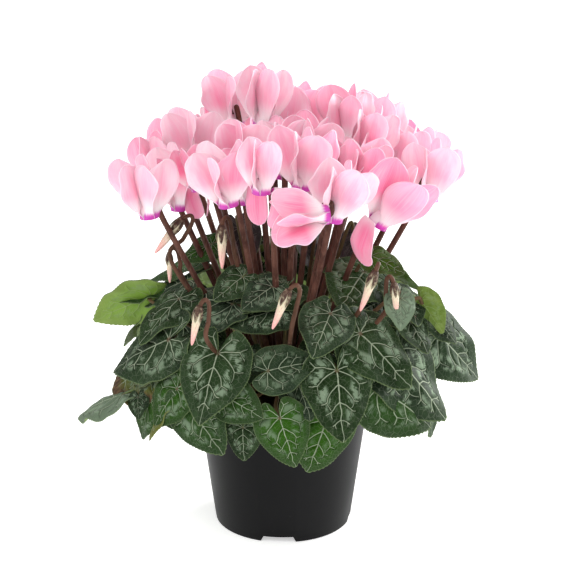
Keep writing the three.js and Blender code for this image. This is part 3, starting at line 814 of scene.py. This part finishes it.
# %% [markdown]
# ## A leaf's finish
#
# The upper face is dark grey-green and marbled. Pale veins leave the joint and the midrib in pairs, curve
# towards the tip and fork before they reach the edge. Between them lie silvery patches with feathered
# outer ends, and the whole face is dusted with pale specks. A vein is the line where a point's bearing
# from the vein's start equals the vein's own bearing, which turns as it goes out. Past the fork, the
# bearing's absolute difference from a growing angle makes the Y. The lower face is a plain light green
# with faint veins, and on the old leaves that stand at the back it is a dusky grey-purple.

# %% Veins
# Where a vein leaves the midrib, its bearing, how fast that turns, where it forks, how widely, its length.
VEINS = [
    (0.0, 1.3, 0.9, 0.36, 2.6, 0.52),
    (0.0, 1.95, 0.55, 0.3, 2.6, 0.45),
    (0.0, 2.65, 0.35, 0.24, 2.4, 0.38),
    (0.2, 1.0, 1.1, 0.29, 3.0, 0.42),
    (0.44, 1.05, 1.4, 0.18, 3.6, 0.28),
    (0.68, 1.05, 1.5, 0.1, 4.0, 0.16),
]


def nearest_vein(u, v):
    """How far a point lies from the nearest side vein, in blade lengths."""
    nearest = None
    for start, bearing, curl, fork_at, fork, length in VEINS:
        ahead = u - start
        out = (ahead * ahead + v * v) ** 0.5
        astray = abs(v.maths("ARCTAN2", ahead) - bearing + out * curl)
        split = (out - fork_at).most(0.0) * fork
        gap = abs(astray - split) * out + out.rise(length * 0.85, length) * 0.1
        nearest = gap if nearest is None else nearest.least(gap)
    return nearest


# %% Leaf finishes
def leaf_finish(name, dark, light, young, greyish, silver, vein, upper, gloss):
    finish = Finish(name, Specular_IOR_Level=gloss)
    mix, speckle = finish.mix, finish.speckle
    labels = ("u", "v", "rim", "seed", "youth", "marbling", "yellow", "browning")
    u, v, rim, seed, youth, marbling, yellow, browning = (finish.stored(label) for label in labels)
    where = finish.place(u, v, seed)
    sway = (speckle(where, 5.0, 2.0, seed) - 0.5) * 0.13
    shaken = (speckle(where, 8.0, 2.0, seed + 5.0) - 0.5) * 0.11
    side = abs(v + sway * rim)
    gap = nearest_vein(u + shaken * rim, side)
    side_veins = (gap - (0.0046 - rim * 0.0026)).fall(0.0, 0.006) * rim.fall(0.88, 0.96)
    midrib = (side - (0.0075 - u * 0.006)).fall(0.0, 0.006) * u.rise(-0.03, 0.0)
    ribs = side_veins.most(midrib)
    cells = {"Vector": where, "Scale": 15.0}
    net = finish.node("ShaderNodeTexVoronoi", {"feature": "DISTANCE_TO_EDGE"}, cells).fall(0.0, 0.05)
    fan = finish.place(v.maths("ARCTAN2", u - BLADE.centre) * 9.0, rim * 1.2, seed)
    streaks = speckle(fan, 3.0, 4.0, seed)
    blotch = speckle(where, 7.0, 3.0, seed + 9.0)
    band = rim.rise(0.34, 0.46) * (rim + streaks * 0.3).fall(0.86, 0.97)
    between = gap.rise(0.012, 0.03) * side.rise(0.04, 0.1)
    patches = band * between * (blotch + streaks * 0.4).rise(0.66, 0.76)
    haze = (blotch * 0.6 + streaks * 0.4).rise(0.42, 0.62) * rim.rise(0.2, 0.5)
    specks = speckle(where, 95.0, 1.0, seed).rise(0.735, 0.78)
    cloud = speckle(where, 3.0, 4.0, seed + 2.0)
    by_joint = ((u * u + v * v) ** 0.5).fall(0.012, 0.05)
    withered = mix(streaks.rise(0.4, 0.6), (0.05, 0.028, 0.016), (0.14, 0.085, 0.045))
    finish.paint(
        dark,
        (cloud.rise(0.35, 0.7) * 0.6 + haze * 0.4, light),
        (seed.maths("FRACT") * 0.35, greyish),
        (youth, mix(rim.rise(0.5, 1.15), young, light)),
        (yellow, mix(cloud, (0.2, 0.24, 0.02), (0.32, 0.27, 0.04))),
        (patches * marbling, silver),
        ((specks * 0.4).most(marbling - 1.0), silver),
        (net * 0.14, vein),
        (ribs * 0.75, vein),
        (by_joint * 0.7, (0.11, 0.035, 0.012)),
        (browning * (rim + blotch * 0.35).rise(0.85, 1.05), withered),
        (rim.rise(0.975, 0.99) * 0.45, (0.2, 0.27, 0.12)),
    )
    finish.set(Roughness=0.5 + cloud * 0.15 + patches * 0.1)
    quilt = gap.rise(0.0, 0.06) * upper
    grain = speckle(where, 60.0, 3.0, seed) * 0.25
    finish.bump(quilt - ribs * upper * 0.6 - net * 0.15 * upper + grain, 0.0011)
    return finish


upper_face = leaf_finish(
    "leaf_upper", dark=(0.003, 0.011, 0.001), light=(0.03, 0.056, 0.02), young=(0.022, 0.078, 0.003),
    greyish=(0.046, 0.066, 0.05), silver=(0.2, 0.27, 0.18), vein=(0.4, 0.47, 0.33), upper=1.0, gloss=0.07,
)
lower_face = leaf_finish(
    "leaf_lower", dark=(0.12, 0.2, 0.025), light=(0.26, 0.36, 0.09), young=(0.2, 0.36, 0.04),
    greyish=(0.2, 0.3, 0.08), silver=(0.22, 0.32, 0.12), vein=(0.28, 0.38, 0.14), upper=-0.25, gloss=0.2,
)
dusky_face = leaf_finish(
    "leaf_dusky", dark=(0.03, 0.024, 0.024), light=(0.065, 0.055, 0.052), young=(0.08, 0.07, 0.05),
    greyish=(0.06, 0.055, 0.055), silver=(0.14, 0.13, 0.12), vein=(0.17, 0.16, 0.14), upper=-0.3, gloss=0.2,
)
print("leaf faces:", upper_face.material.name, lower_face.material.name, dusky_face.material.name)

# %% [markdown]
# ## Leaf blades
#
# Each blade is a fan of rings round the point on the midrib, closer together towards the edge, with a
# tooth at every other point of the outermost ring. The sheet is then given the thickness of a real
# leaf, and its lower face takes a finish of its own. Youth, marbling, yellow and browning differ from
# leaf to leaf: the lowest young leaves are a clear green, one old leaf on the left has a brown margin,
# and another has turned yellow.

# %% Leaf blades
RINGS = np.array([0.001, 0.08, 0.19, 0.31, 0.43, 0.55, 0.66, 0.77, 0.87, 0.94, 0.975, 1.0])
# Leaves up to this place are seen closest, and have more points round the edge than the others.
NEAR = Sizes(leaves=38, points=160)
FAR_POINTS = 112
TOOTH = 0.011
LEAF_THICKNESS = 0.55
SEED_STEP = 0.37
# By place. Marbling above 1 makes the whole face silvery.
YOUTH = {5: 0.3, 6: 0.7, 7: 0.9, 9: 0.8, 19: 0.3, 20: 0.3, 23: 0.5, 24: 0.3, 25: 0.5, 26: 1, 27: 1, 28: 0.4,
         29: 0.5, 30: 0.8, 32: 1, 33: 0.8, 34: 0.8, 35: 0.9, 53: 0.8, 58: 0.2, 61: 1, 62: 1}
MARBLING = {7: 0.2, 9: 0.3, 12: 0.9, 15: 1, 16: 1, 18: 1, 21: 0.4, 26: 0.5, 27: 0.2, 31: 1.6, 32: 0.1,
            60: 1.75, 61: 0.1, 62: 0.1}
YELLOW = {5: 0.3, 61: 0.08, 68: 0.9, 70: 0.45}
DUSKY = (36, 37, 38, 65, 66)
BROWNED = 5
RUFFLE = Sizes(height=0.018, waves=8, power=4, shift=1.9)
QUILT = Sizes(height=0.012, scale=7, shift=1.7)
for leaf in leaves:
    place = leaf.index + 1
    points_round = NEAR.points if place <= NEAR.leaves else FAR_POINTS
    turns = np.linspace(-math.pi, math.pi, points_round, endpoint=False)
    rim = np.repeat(RINGS[:, None], points_round, 1)
    radius = rim * blade_reach(turns)
    radius[-1] *= teeth(points_round, TOOTH)
    u, v = blade_place(radius, turns)
    level = leaf.index * QUILT.shift
    quilt = [noise.noise(Vector((a * QUILT.scale, b * QUILT.scale, level))) for a, b in zip(u.flat, v.flat)]
    ruffle = RUFFLE.height * rim**RUFFLE.power * np.sin(RUFFLE.waves * turns + RUFFLE.shift * leaf.index)
    form = Form()
    form.add(
        leaf.point(u, v, np.reshape(quilt, u.shape) * QUILT.height + ruffle),
        grid_faces(len(RINGS), points_round, around=True, turned_over=True),
        u=u,
        v=v,
        rim=rim,
        seed=place * SEED_STEP,
        youth=YOUTH.get(place, 0.15 * wobble(place)),
        marbling=MARBLING.get(place, 0.55 + 0.35 * wobble(place + 40)),
        browning=place == BROWNED,
        yellow=YELLOW.get(place, 0.0),
    )
    below = dusky_face if place in DUSKY else lower_face
    form.piece(f"blade_{place:02d}", upper_face, leaf.nodes, LEAF_THICKNESS, below)
print("blades:", len(leaves), "of", faces_of("blade_01"), "triangles")

# %% [markdown]
# ## Corm and stalks
#
# All stalks rise from the crown of a corky corm that sits half in the soil. Flower stalks are almost
# straight until the nod at the top, and leaf stalks arch over the rim and come to their joints from
# below. Both have the same purple-brown skin with fine lengthwise streaks, greener on the leaf stalks.

# %% Stalk and corm finishes
stalk_finish = Finish("stalk_skin", Specular_IOR_Level=0.14)
where = stalk_finish.body()
long_grain = stalk_finish.node("ShaderNodeMapping", {}, {"Vector": where, "Scale": (1.0, 1.0, 0.08)})
streak = stalk_finish.speckle(long_grain, 900.0)
patch = stalk_finish.speckle(where, 60.0)
stalk_finish.paint(
    (0.048, 0.017, 0.011),
    (patch.rise(0.3, 0.7), (0.125, 0.052, 0.037)),
    (streak.rise(0.5, 0.75) * 0.5, (0.21, 0.11, 0.08)),
    (stalk_finish.stored("green"), (0.13, 0.12, 0.045)),
)
stalk_finish.set(Roughness=0.45 + patch * 0.2)
stalk_finish.bump(streak, 0.0001)

corm_finish = Finish("corm_skin", Roughness=0.85, Specular_IOR_Level=0.25)
cork = corm_finish.speckle(corm_finish.body(), 160.0, 6.0)
corm_finish.paint((0.03, 0.015, 0.01), (cork.rise(0.35, 0.7), (0.12, 0.07, 0.045)))
corm_finish.bump(cork, 0.0015)

# %% Corm and stalks
CORM = Sizes(z=86, radius=22, half_height=17, lumps=0.06, lump_scale=2.5, rows=25, columns=48)
CROWN = Sizes(z=93, flower_share=0.14, leaf_ring=14, leaf_share=0.04)
STALK = Sizes(flower=1.85, bud=1.4, leaf=1.3, sag=4, sides=10, leaf_sides=8)
LEAF_ARCH = Sizes(rise=6, over_rim=12, behind=8, below=6, under=0.8, past_joint=2)
TAPER = (1.15, 0.9)
BUD_TAPER = (1.1, 0.95)

lumpy = []
for latitude in np.linspace(-math.pi / 2, math.pi / 2, CORM.rows):
    for turn in circle(CORM.columns):
        way = Vector(direction(turn, latitude))
        swell = 1 + CORM.lumps * noise.fractal(way * CORM.lump_scale, 1.0, 2.0, 4)
        lumpy.append(np.array(way) * (CORM.radius, CORM.radius, CORM.half_height) * swell + (0, 0, CORM.z))
corm_form = Form()
corm_form.add(lumpy, grid_faces(CORM.rows, CORM.columns, around=True))
corm_form.piece("corm", corm_finish, ["corm_and_stalks"])


def hooked(flower, nod):
    """A flower's stalk: from the crown, almost straight, and over at the end through the nod's points."""
    end = [flower.beside(out, up) for out, up in nod]
    root = np.array([*end[0][:2] * CROWN.flower_share, CROWN.z])
    middle = (root + end[0]) / 2 - (0, 0, STALK.sag)
    return curve_through([root, middle, *end], per_span=10)


flower_stalks = Form()
for flowers, nod, taper, thickness, green in (
    (blooms, NOD, TAPER, STALK.flower, 0.0),
    (buds, BUD_NOD, BUD_TAPER, STALK.bud, 0.1),
):
    for flower in flowers:
        path = hooked(flower, nod)
        tube(flower_stalks, path, np.linspace(*taper, len(path)) * thickness, STALK.sides, green=green)
flower_stalks.piece("flower_stalks", stalk_finish, ["corm_and_stalks"])

leaf_stalks = Form()
for leaf in leaves:
    end = leaf.joint - leaf.facing * (STALK.leaf * LEAF_ARCH.under)
    before = end - leaf.facing * LEAF_ARCH.behind - leaf.along * LEAF_ARCH.below
    azimuth = math.atan2(before[1], before[0])
    ring = CROWN.leaf_ring + CROWN.leaf_share * math.hypot(before[0], before[1])
    root = np.array([ring * math.cos(azimuth), ring * math.sin(azimuth), CROWN.z])
    middle = (root + before) / 2
    middle[2] = max(middle[2] + LEAF_ARCH.rise, POT.height + LEAF_ARCH.over_rim)
    path = curve_through([root, middle, before, end + leaf.along * LEAF_ARCH.past_joint], per_span=9)
    radii = np.linspace(*TAPER, len(path)) * STALK.leaf
    tube(leaf_stalks, path, radii, STALK.leaf_sides, green=0.25 + 0.3 * wobble(leaf.index))
leaf_stalks.piece("leaf_stalks", stalk_finish, ["corm_and_stalks"])
print("stalks:", len(blooms) + len(buds), "of flowers,", len(leaves), "of leaves")

# %% [markdown]
# ## Petals
#
# A bloom nods, so its mouth faces the ground, and its five petals sweep back and stand upright. Each is a
# narrow claw at the mouth that widens to a rounded blade, and the whole petal is twisted, so that the
# five overlap like a pinwheel. The sheet below follows the mouth's ring where it starts and turns flat
# further up, its margins curl outwards, and ripples run along them. The finish runs from a magenta mouth
# through a nearly white claw to pink, with fine lengthwise veins and a pale edge. The rose heart is
# partly the petal's own colour and partly painted shade in its fold, and the hanging petals and four of
# the blooms inside the dome are painted a darker rose for the shade that they stand in. Light passes
# through a petal, which a little scattering stands for, and a faint painted glow of the petal's own
# colour lifts its shaded parts. Petals differ in length, lean, width and ripple, and a few hang down.

# %% Petal finish
petal_finish = Finish("petal", Roughness=0.6, Specular_IOR_Level=0.25, Subsurface_Weight=0.3,
                      Subsurface_Radius=(1.0, 0.45, 0.5), Subsurface_Scale=0.003, Sheen_Weight=0.1,
                      Emission_Strength=0.06)
s, t, tint, deep, edge = (petal_finish.stored(label) for label in ("s", "t", "tint", "deep", "edge"))
fine = petal_finish.speckle(petal_finish.place(t * 22.0, s * 1.3, tint * 7.0), 1.0)
broad = petal_finish.speckle(petal_finish.place(t * 2.2, s * 2.0, tint * 9.0), 1.4, 2.0)
# The rose heart is partly the petal's own colour and partly painted shade in the fold of the petal.
heart_and_fold_shade = (abs(t + broad * 0.8 - 0.4) * 0.85 + abs(s + fine * 0.1 - 0.5) * 1.35).fall(0.0, 0.95)
pale = (0.88, 0.64, 0.7)
pink = (0.88, 0.41, 0.55)
rose_and_shade_colour = (0.85, 0.15, 0.32)
claw_white = (0.88, 0.76, 0.78)
magenta = (0.58, 0.05, 0.4)
edge_pink = (0.92, 0.7, 0.79)
face = petal_finish.paint(
    pink,
    (broad.rise(0.3, 0.7) * 0.45 + tint * 0.55, pale),
    # A darker rose: partly the petal's own colour, partly painted shade on hanging petals and inner blooms.
    (deep * 0.5, rose_and_shade_colour),
    # The rose heart: partly the petal's own colour, partly painted shade in the petal's fold.
    (heart_and_fold_shade * (0.3 + deep * 0.6), rose_and_shade_colour),
    ((s + (fine - 0.5) * 0.2).fall(0.12, 0.5), claw_white),
    (fine.rise(0.42, 0.72) * 0.3, pale),
    ((s + (fine - 0.5) * 0.16).fall(0.05, 0.135), magenta),
    (edge.fall(0.015, 0.055) * 0.6, edge_pink),
)
# The petal also glows faintly in its own colour: painted light that lifts its shaded parts, for the light
# that passes through it.
petal_finish.set(Emission_Color=face)
petal_finish.bump(fine, 0.00015)

# %% Petal sizes
# In millimetres, degrees and shares of the petal's length.
PETAL = Sizes(mouth=6.4, length=39, least_length=0.93, length_spread=0.14, flare=8.6, least_flare=0.6,
              flare_spread=0.95, flare_power=1.6, claw=4.3, claw_end=0.02, blade=12.6, full_width=0.64,
              round_from=0.6, round_power=2.7, closed_width=0.5, open_width=0.55, twist_low=37, twist_high=51,
              swirl=10, ring_to=0.22, thickness=0.4, count=5, first=50, spacing=65)
# How the margins turn outwards: a curl all along, a lip between two heights, ripples and pleats.
MARGIN = Sizes(curl=0.17, lip=0.42, lip_from=0.06, lip_span=0.7, lip_power=1.5, ripple=1.1, waves=1.3,
               slant=1.2, ripple_between=(0.3, 0.7), pleat=0.12, pleats=13, pleat_shift=5,
               pleat_between=(0.1, 0.4))
# The margin that lies behind the next petal has these factors on the same.
BEHIND = Sizes(curl=2.4, lip=0.1, ripple=0.35)
# How far petals differ: lean and twist in degrees, skew and roundness of the top, belly in millimetres.
VARIETY = Sizes(lean=12, untwist=18, skew=0.6, roundness=1.2, pointed=0.3, belly=3.2)
HANGING = Sizes(bulge=7, bulge_power=0.8, lift=9, lift_end=1.6, drop=0.66, width=0.75, plumb=1.5)
# The petals that hang, by bloom and petal, and the twist that turns some of their faces outwards.
HANGING_TWIST = {(10, 1): 11, (10, 5): 91, (15, 2): -15, (29, 1): None, (29, 2): None}


# %% Petal form
def petal_half_width(s, seed):
    body = PETAL.claw + (PETAL.blade - PETAL.claw) * smooth_step(PETAL.claw_end, PETAL.full_width, s)
    past = np.maximum(0, s - PETAL.round_from) / (1 - PETAL.round_from)
    power = PETAL.round_power + VARIETY.roundness * (wobble(seed + 11) - 0.5)
    return body * np.maximum(0, 1 - past**power) ** (0.5 + VARIETY.pointed * wobble(seed + 13))


def margin_curl(s, t, width, seed):
    """How far a petal's margins stand out of its sheet, in millimetres."""
    behind = t <= 0
    wave = np.sin(math.tau * (MARGIN.waves * s + wobble(seed + 8)) + MARGIN.slant * t)
    ripple = MARGIN.ripple * t * np.abs(t) * wave * smooth_step(*MARGIN.ripple_between, s)
    pleat = np.cos(MARGIN.pleats * t + MARGIN.pleat_shift * wobble(seed + 4))
    pleat = MARGIN.pleat * pleat * smooth_step(*MARGIN.pleat_between, s)
    height = np.clip((s - MARGIN.lip_from) / MARGIN.lip_span, 0, 1)
    lip = MARGIN.lip * width * t * t * np.sin(math.pi * height) ** MARGIN.lip_power
    curl = MARGIN.curl * width * t * np.abs(t) * np.where(behind, BEHIND.curl, 1.0)
    curl = curl + ripple * np.where(behind, BEHIND.ripple, 1.0) + pleat
    return curl + lip * np.where(behind, BEHIND.lip, 1.0)


def petal_points(bloom, petal, s, t):
    seed = bloom.index * 7 + petal
    lean = VARIETY.lean * (wobble(seed + 6) - 0.5)
    turn = np.radians(PETAL.first + PETAL.spacing * petal + PETAL.swirl * s + lean * s * s)
    twist = PETAL.twist_low + (PETAL.twist_high - PETAL.twist_low - VARIETY.untwist * wobble(seed + 5)) * s
    width = petal_half_width(s, seed) * min(1, PETAL.closed_width + PETAL.open_width * bloom.open)
    flare = PETAL.flare * bloom.open * (PETAL.least_flare + PETAL.flare_spread * wobble(seed))
    reach = PETAL.mouth + flare * s**PETAL.flare_power
    reach = reach + VARIETY.belly * (wobble(seed + 15) - 0.4) * np.sin(math.pi * s) * s
    length = PETAL.length * (PETAL.least_length + PETAL.length_spread * wobble(seed + 3))
    skew = VARIETY.skew * (wobble(seed + 9) - 0.5)
    rise = length * s + skew * width * t * s * s
    fall = 0 * s
    place = (bloom.index + 1, petal + 1)
    if place in HANGING_TWIST:
        reach = PETAL.mouth + HANGING.bulge * np.sin(math.pi * s**HANGING.bulge_power)
        rise = HANGING.lift * np.sin(math.pi * np.minimum(1, HANGING.lift_end * s))
        fall = HANGING.drop * PETAL.length * s
        width = width * HANGING.width
        twist = twist if HANGING_TWIST[place] is None else HANGING_TWIST[place]
    twist = np.radians(twist) + 0 * s

    def way(angle):
        return np.cos(angle)[..., None] * bloom.out + np.sin(angle)[..., None] * bloom.side

    upright = bloom.up * rise[..., None]
    across = way(turn - twist + math.pi / 2) * (width * t)[..., None]
    outwards = way(turn - twist) * margin_curl(s, t, width, seed)[..., None]
    flat = way(turn) * reach[..., None] + upright + across + outwards
    ring = way(turn + np.radians(PETAL.spacing / 2) * t) * reach[..., None] + upright
    hold = (1 - smooth_step(0.0, PETAL.ring_to, s))[..., None]
    down = unit(bloom.up + (0.0, 0.0, HANGING.plumb))
    return bloom.at + bloom.size * (flat * (1 - hold) + ring * hold - fall[..., None] * down)


# %% Blooms
# How dark a rose a whole bloom is. For the four blooms inside the dome it is painted shade, for the
# shade that they stand in. The others are pale, with a deeper petal here and there.
ROSE_AND_SHADE = {13: 0.75, 27: 0.5, 28: 0.7, 29: 0.8, 30: 0.6}
# Hanging petals are painted a dark rose, which stands for the shade that they hang in.
HANGING_SHADE = 0.9
ALONG = np.concatenate([np.linspace(0, 0.84, 18), [0.88, 0.915, 0.945, 0.968, 0.984, 0.994, 0.9995]])
ACROSS = np.linspace(-1, 1, 14)
THROAT = [(6.4, 0.0), (6.5, -0.35), (6.2, -0.4), (5.9, 0.1), (5.5, 1.6), (4.4, 3.8), (2.4, 5.4), (0.5, 5.9)]
TUBE_ROOF = [(6.2, 0.0), (5.9, 2.2), (5.3, 4.6), (4.2, 7.2), (2.7, 9.2)]
TUBE_SIDES = 30
# How far along a petal the mouth, the end of the throat and the end of the roof take their colours from.
MOUTH_SHARE, THROAT_SHARE, ROOF_SHARE = 0.03, 0.02, 0.35
s, t = np.meshgrid(ALONG, ACROSS, indexing="ij")
for bloom in blooms:
    form = Form()
    for petal in range(PETAL.count):
        seed = bloom.index * 7 + petal
        hangs = (bloom.index + 1, petal + 1) in HANGING_TWIST
        # The distance from the petal's edge, in centimetres.
        edge = np.minimum((1 - np.abs(t)) * petal_half_width(s, seed), (1 - s) * PETAL.length) / 10
        # Hanging petals take their painted shade here, as a dark rose.
        deep = HANGING_SHADE if hangs else ROSE_AND_SHADE.get(bloom.index + 1, wobble(seed + 21) ** 3)
        form.add(petal_points(bloom, petal, s, t), grid_faces(len(ALONG), len(ACROSS)),
                 s=s, t=t, edge=edge, tint=wobble(seed + 2), deep=deep)
    for profile, share in ((THROAT, THROAT_SHARE), (TUBE_ROOF, ROOF_SHARE)):
        inwards = np.repeat(np.linspace(MOUTH_SHARE, share, len(profile)), TUBE_SIDES)
        turned(form, profile, TUBE_SIDES, bloom.axes(), bloom.at, s=inwards, t=0, edge=1, tint=0, deep=0.3)
    nodes = nodes_of("bloom_", bloom.index)
    form.piece(f"petals_{bloom.index + 1:02d}", petal_finish, nodes, PETAL.thickness)
print("blooms:", len(blooms), "of", faces_of("petals_01"), "triangles")

# %% [markdown]
# ## Calyxes and buds
#
# Where a bloom or bud joins its stalk there is a small brown calyx of five pointed sepals with a pale
# green edge. A bud is five petals still rolled round one another into a spike, so its skin has a slow
# spiral of seams. It is cream at the calyx and turns pink towards the tip.

# %% Calyx and bud finishes
calyx_finish = Finish("calyx_skin", Roughness=0.6, Specular_IOR_Level=0.3)
mottle = calyx_finish.speckle(calyx_finish.body(), 500.0, 4.0)
side, low = calyx_finish.stored("t"), calyx_finish.stored("s")
calyx_finish.paint(
    (0.04, 0.016, 0.011),
    (mottle.rise(0.35, 0.6), (0.1, 0.055, 0.035)),
    ((mottle + low * 0.16).rise(0.56, 0.7) * 0.6, (0.34, 0.31, 0.2)),
    ((abs(side) + low * 0.6).rise(1.15, 1.5) * 0.6, (0.5, 0.48, 0.28)),
)
calyx_finish.bump(mottle, 0.0002)

bud_finish = Finish("bud_skin", Roughness=0.5, Specular_IOR_Level=0.3, Subsurface_Weight=0.2,
                    Subsurface_Radius=(1.0, 0.6, 0.5), Subsurface_Scale=0.002)
vein = bud_finish.speckle(bud_finish.body(), 700.0)
bud_finish.paint(
    (0.68, 0.61, 0.44),
    (bud_finish.stored("s").rise(0.3, 0.95), (0.8, 0.4, 0.38)),
    (vein.rise(0.5, 0.7) * 0.3, (0.9, 0.78, 0.7)),
    (bud_finish.stored("t").fall(0.0, 0.25), (0.55, 0.32, 0.25)),
)
bud_finish.bump(vein, 0.0001)

# %% Calyxes and buds
SEPAL = Sizes(count=5, rows=9, columns=7, width=0.62, roundness=2.2, taper=0.25, bow=0.8, keel=0.15,
              thickness=0.35)
BUD = [(1.2, 0.8), (2.2, -0.6), (3.1, -2.4), (3.2, -5), (3.0, -9), (2.5, -14), (2.0, -19), (1.4, -23.5),
       (0.7, -26.4), (0.05, -27.2)]
SEAM = Sizes(count=5, turns=1.6, least=0.9, height=0.14, from_depth=0.25, sides=40, thinnest=0.03)
calyxes = Form()


def sepals(flower, root_up, reach, spread, drop):
    """Five pointed lobes round a flower's axis, from root_up, bowed out to spread and on to a point."""
    s, t = np.meshgrid(np.linspace(0, 1, SEPAL.rows), np.linspace(-1, 1, SEPAL.columns), indexing="ij")
    width = SEPAL.width * np.sqrt(np.maximum(0, 1 - s**SEPAL.roundness)) * (1 - SEPAL.taper * s)
    out = reach + spread * np.sin(math.pi * s * SEPAL.bow) + SEPAL.keel * (1 - t * t)
    for k in range(SEPAL.count):
        local = ringed(out, root_up + drop * s, math.tau * k / SEPAL.count + width * t)
        calyxes.add(local @ flower.axes().T + flower.at, grid_faces(SEPAL.rows, SEPAL.columns), s=s, t=t)


for bloom in blooms:
    sepals(bloom, root_up=9.6, reach=1.5, spread=1.7, drop=-4.0)
for bud in buds:
    sepals(bud, root_up=2.6, reach=1.7, spread=1.9, drop=-12.0)
calyxes.piece("calyxes", calyx_finish, ["corm_and_stalks"], SEPAL.thickness)

levels = curve_through(BUD, per_span=4)
turns = circle(SEAM.sides)
depth = (levels[:, 1:] - levels[0, 1]) / (levels[-1, 1] - levels[0, 1])
saw = (SEAM.count * turns / math.tau + SEAM.turns * depth) % 1
swell = SEAM.least + SEAM.height * saw * smooth_step(0.0, SEAM.from_depth, depth)
local = ringed(np.maximum(levels[:, :1], SEAM.thinnest) * swell, levels[:, 1:], turns).reshape(-1, 3)
faces = grid_faces(len(levels), SEAM.sides, around=True)
spikes = Form()
for bud in buds:
    spikes.add(local @ bud.axes().T + bud.at, faces, s=np.repeat(depth, SEAM.sides), t=saw)
spikes.piece("bud_spikes", bud_finish, ["corm_and_stalks"])
print("calyxes:", faces_of("calyxes"), "triangles; bud spikes:", faces_of("bud_spikes"))

# %% [markdown]
# ## The floor
#
# The plant stands on a plain sheet of white paper that isn't part of it. The sheet glows faintly, so that
# it stays white, and it is wide enough to end far outside the picture.

# %% Floor
FLOOR_REACH = 6.0
floor_finish = Finish("pale_paper", Roughness=0.9, Specular_IOR_Level=0.1, Emission_Color=(1.0, 1.0, 1.0),
                      Emission_Strength=0.5)
fibres = floor_finish.speckle(floor_finish.body(), 400.0, 2.0)
floor_finish.paint((0.9, 0.9, 0.9), (fibres, (0.94, 0.94, 0.94)))
floor_mesh = bpy.data.meshes.new("floor")
corners = [(x * FLOOR_REACH, y * FLOOR_REACH, 0) for x, y in ((-1, -1), (1, -1), (1, 1), (-1, 1))]
floor_mesh.from_pydata(corners, [], [(0, 1, 2, 3)])
floor_mesh.materials.append(floor_finish.material)
floor = placed("floor", floor_mesh)
floor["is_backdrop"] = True

# %% [markdown]
# ## Sizes
#
# Last, both boxes are gathered and their sizes printed, so that the dressed plant can be held against the
# solids.

# %% Sizes and finish
dressed_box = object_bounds()
sizes = {"cad": [list(map(float, corner)) for corner in cad_box],
         "visual": [list(map(float, corner)) for corner in dressed_box]}
print("size, mm:", {name: [round((b - a) / MM) for a, b in zip(*box)] for name, box in sizes.items()})
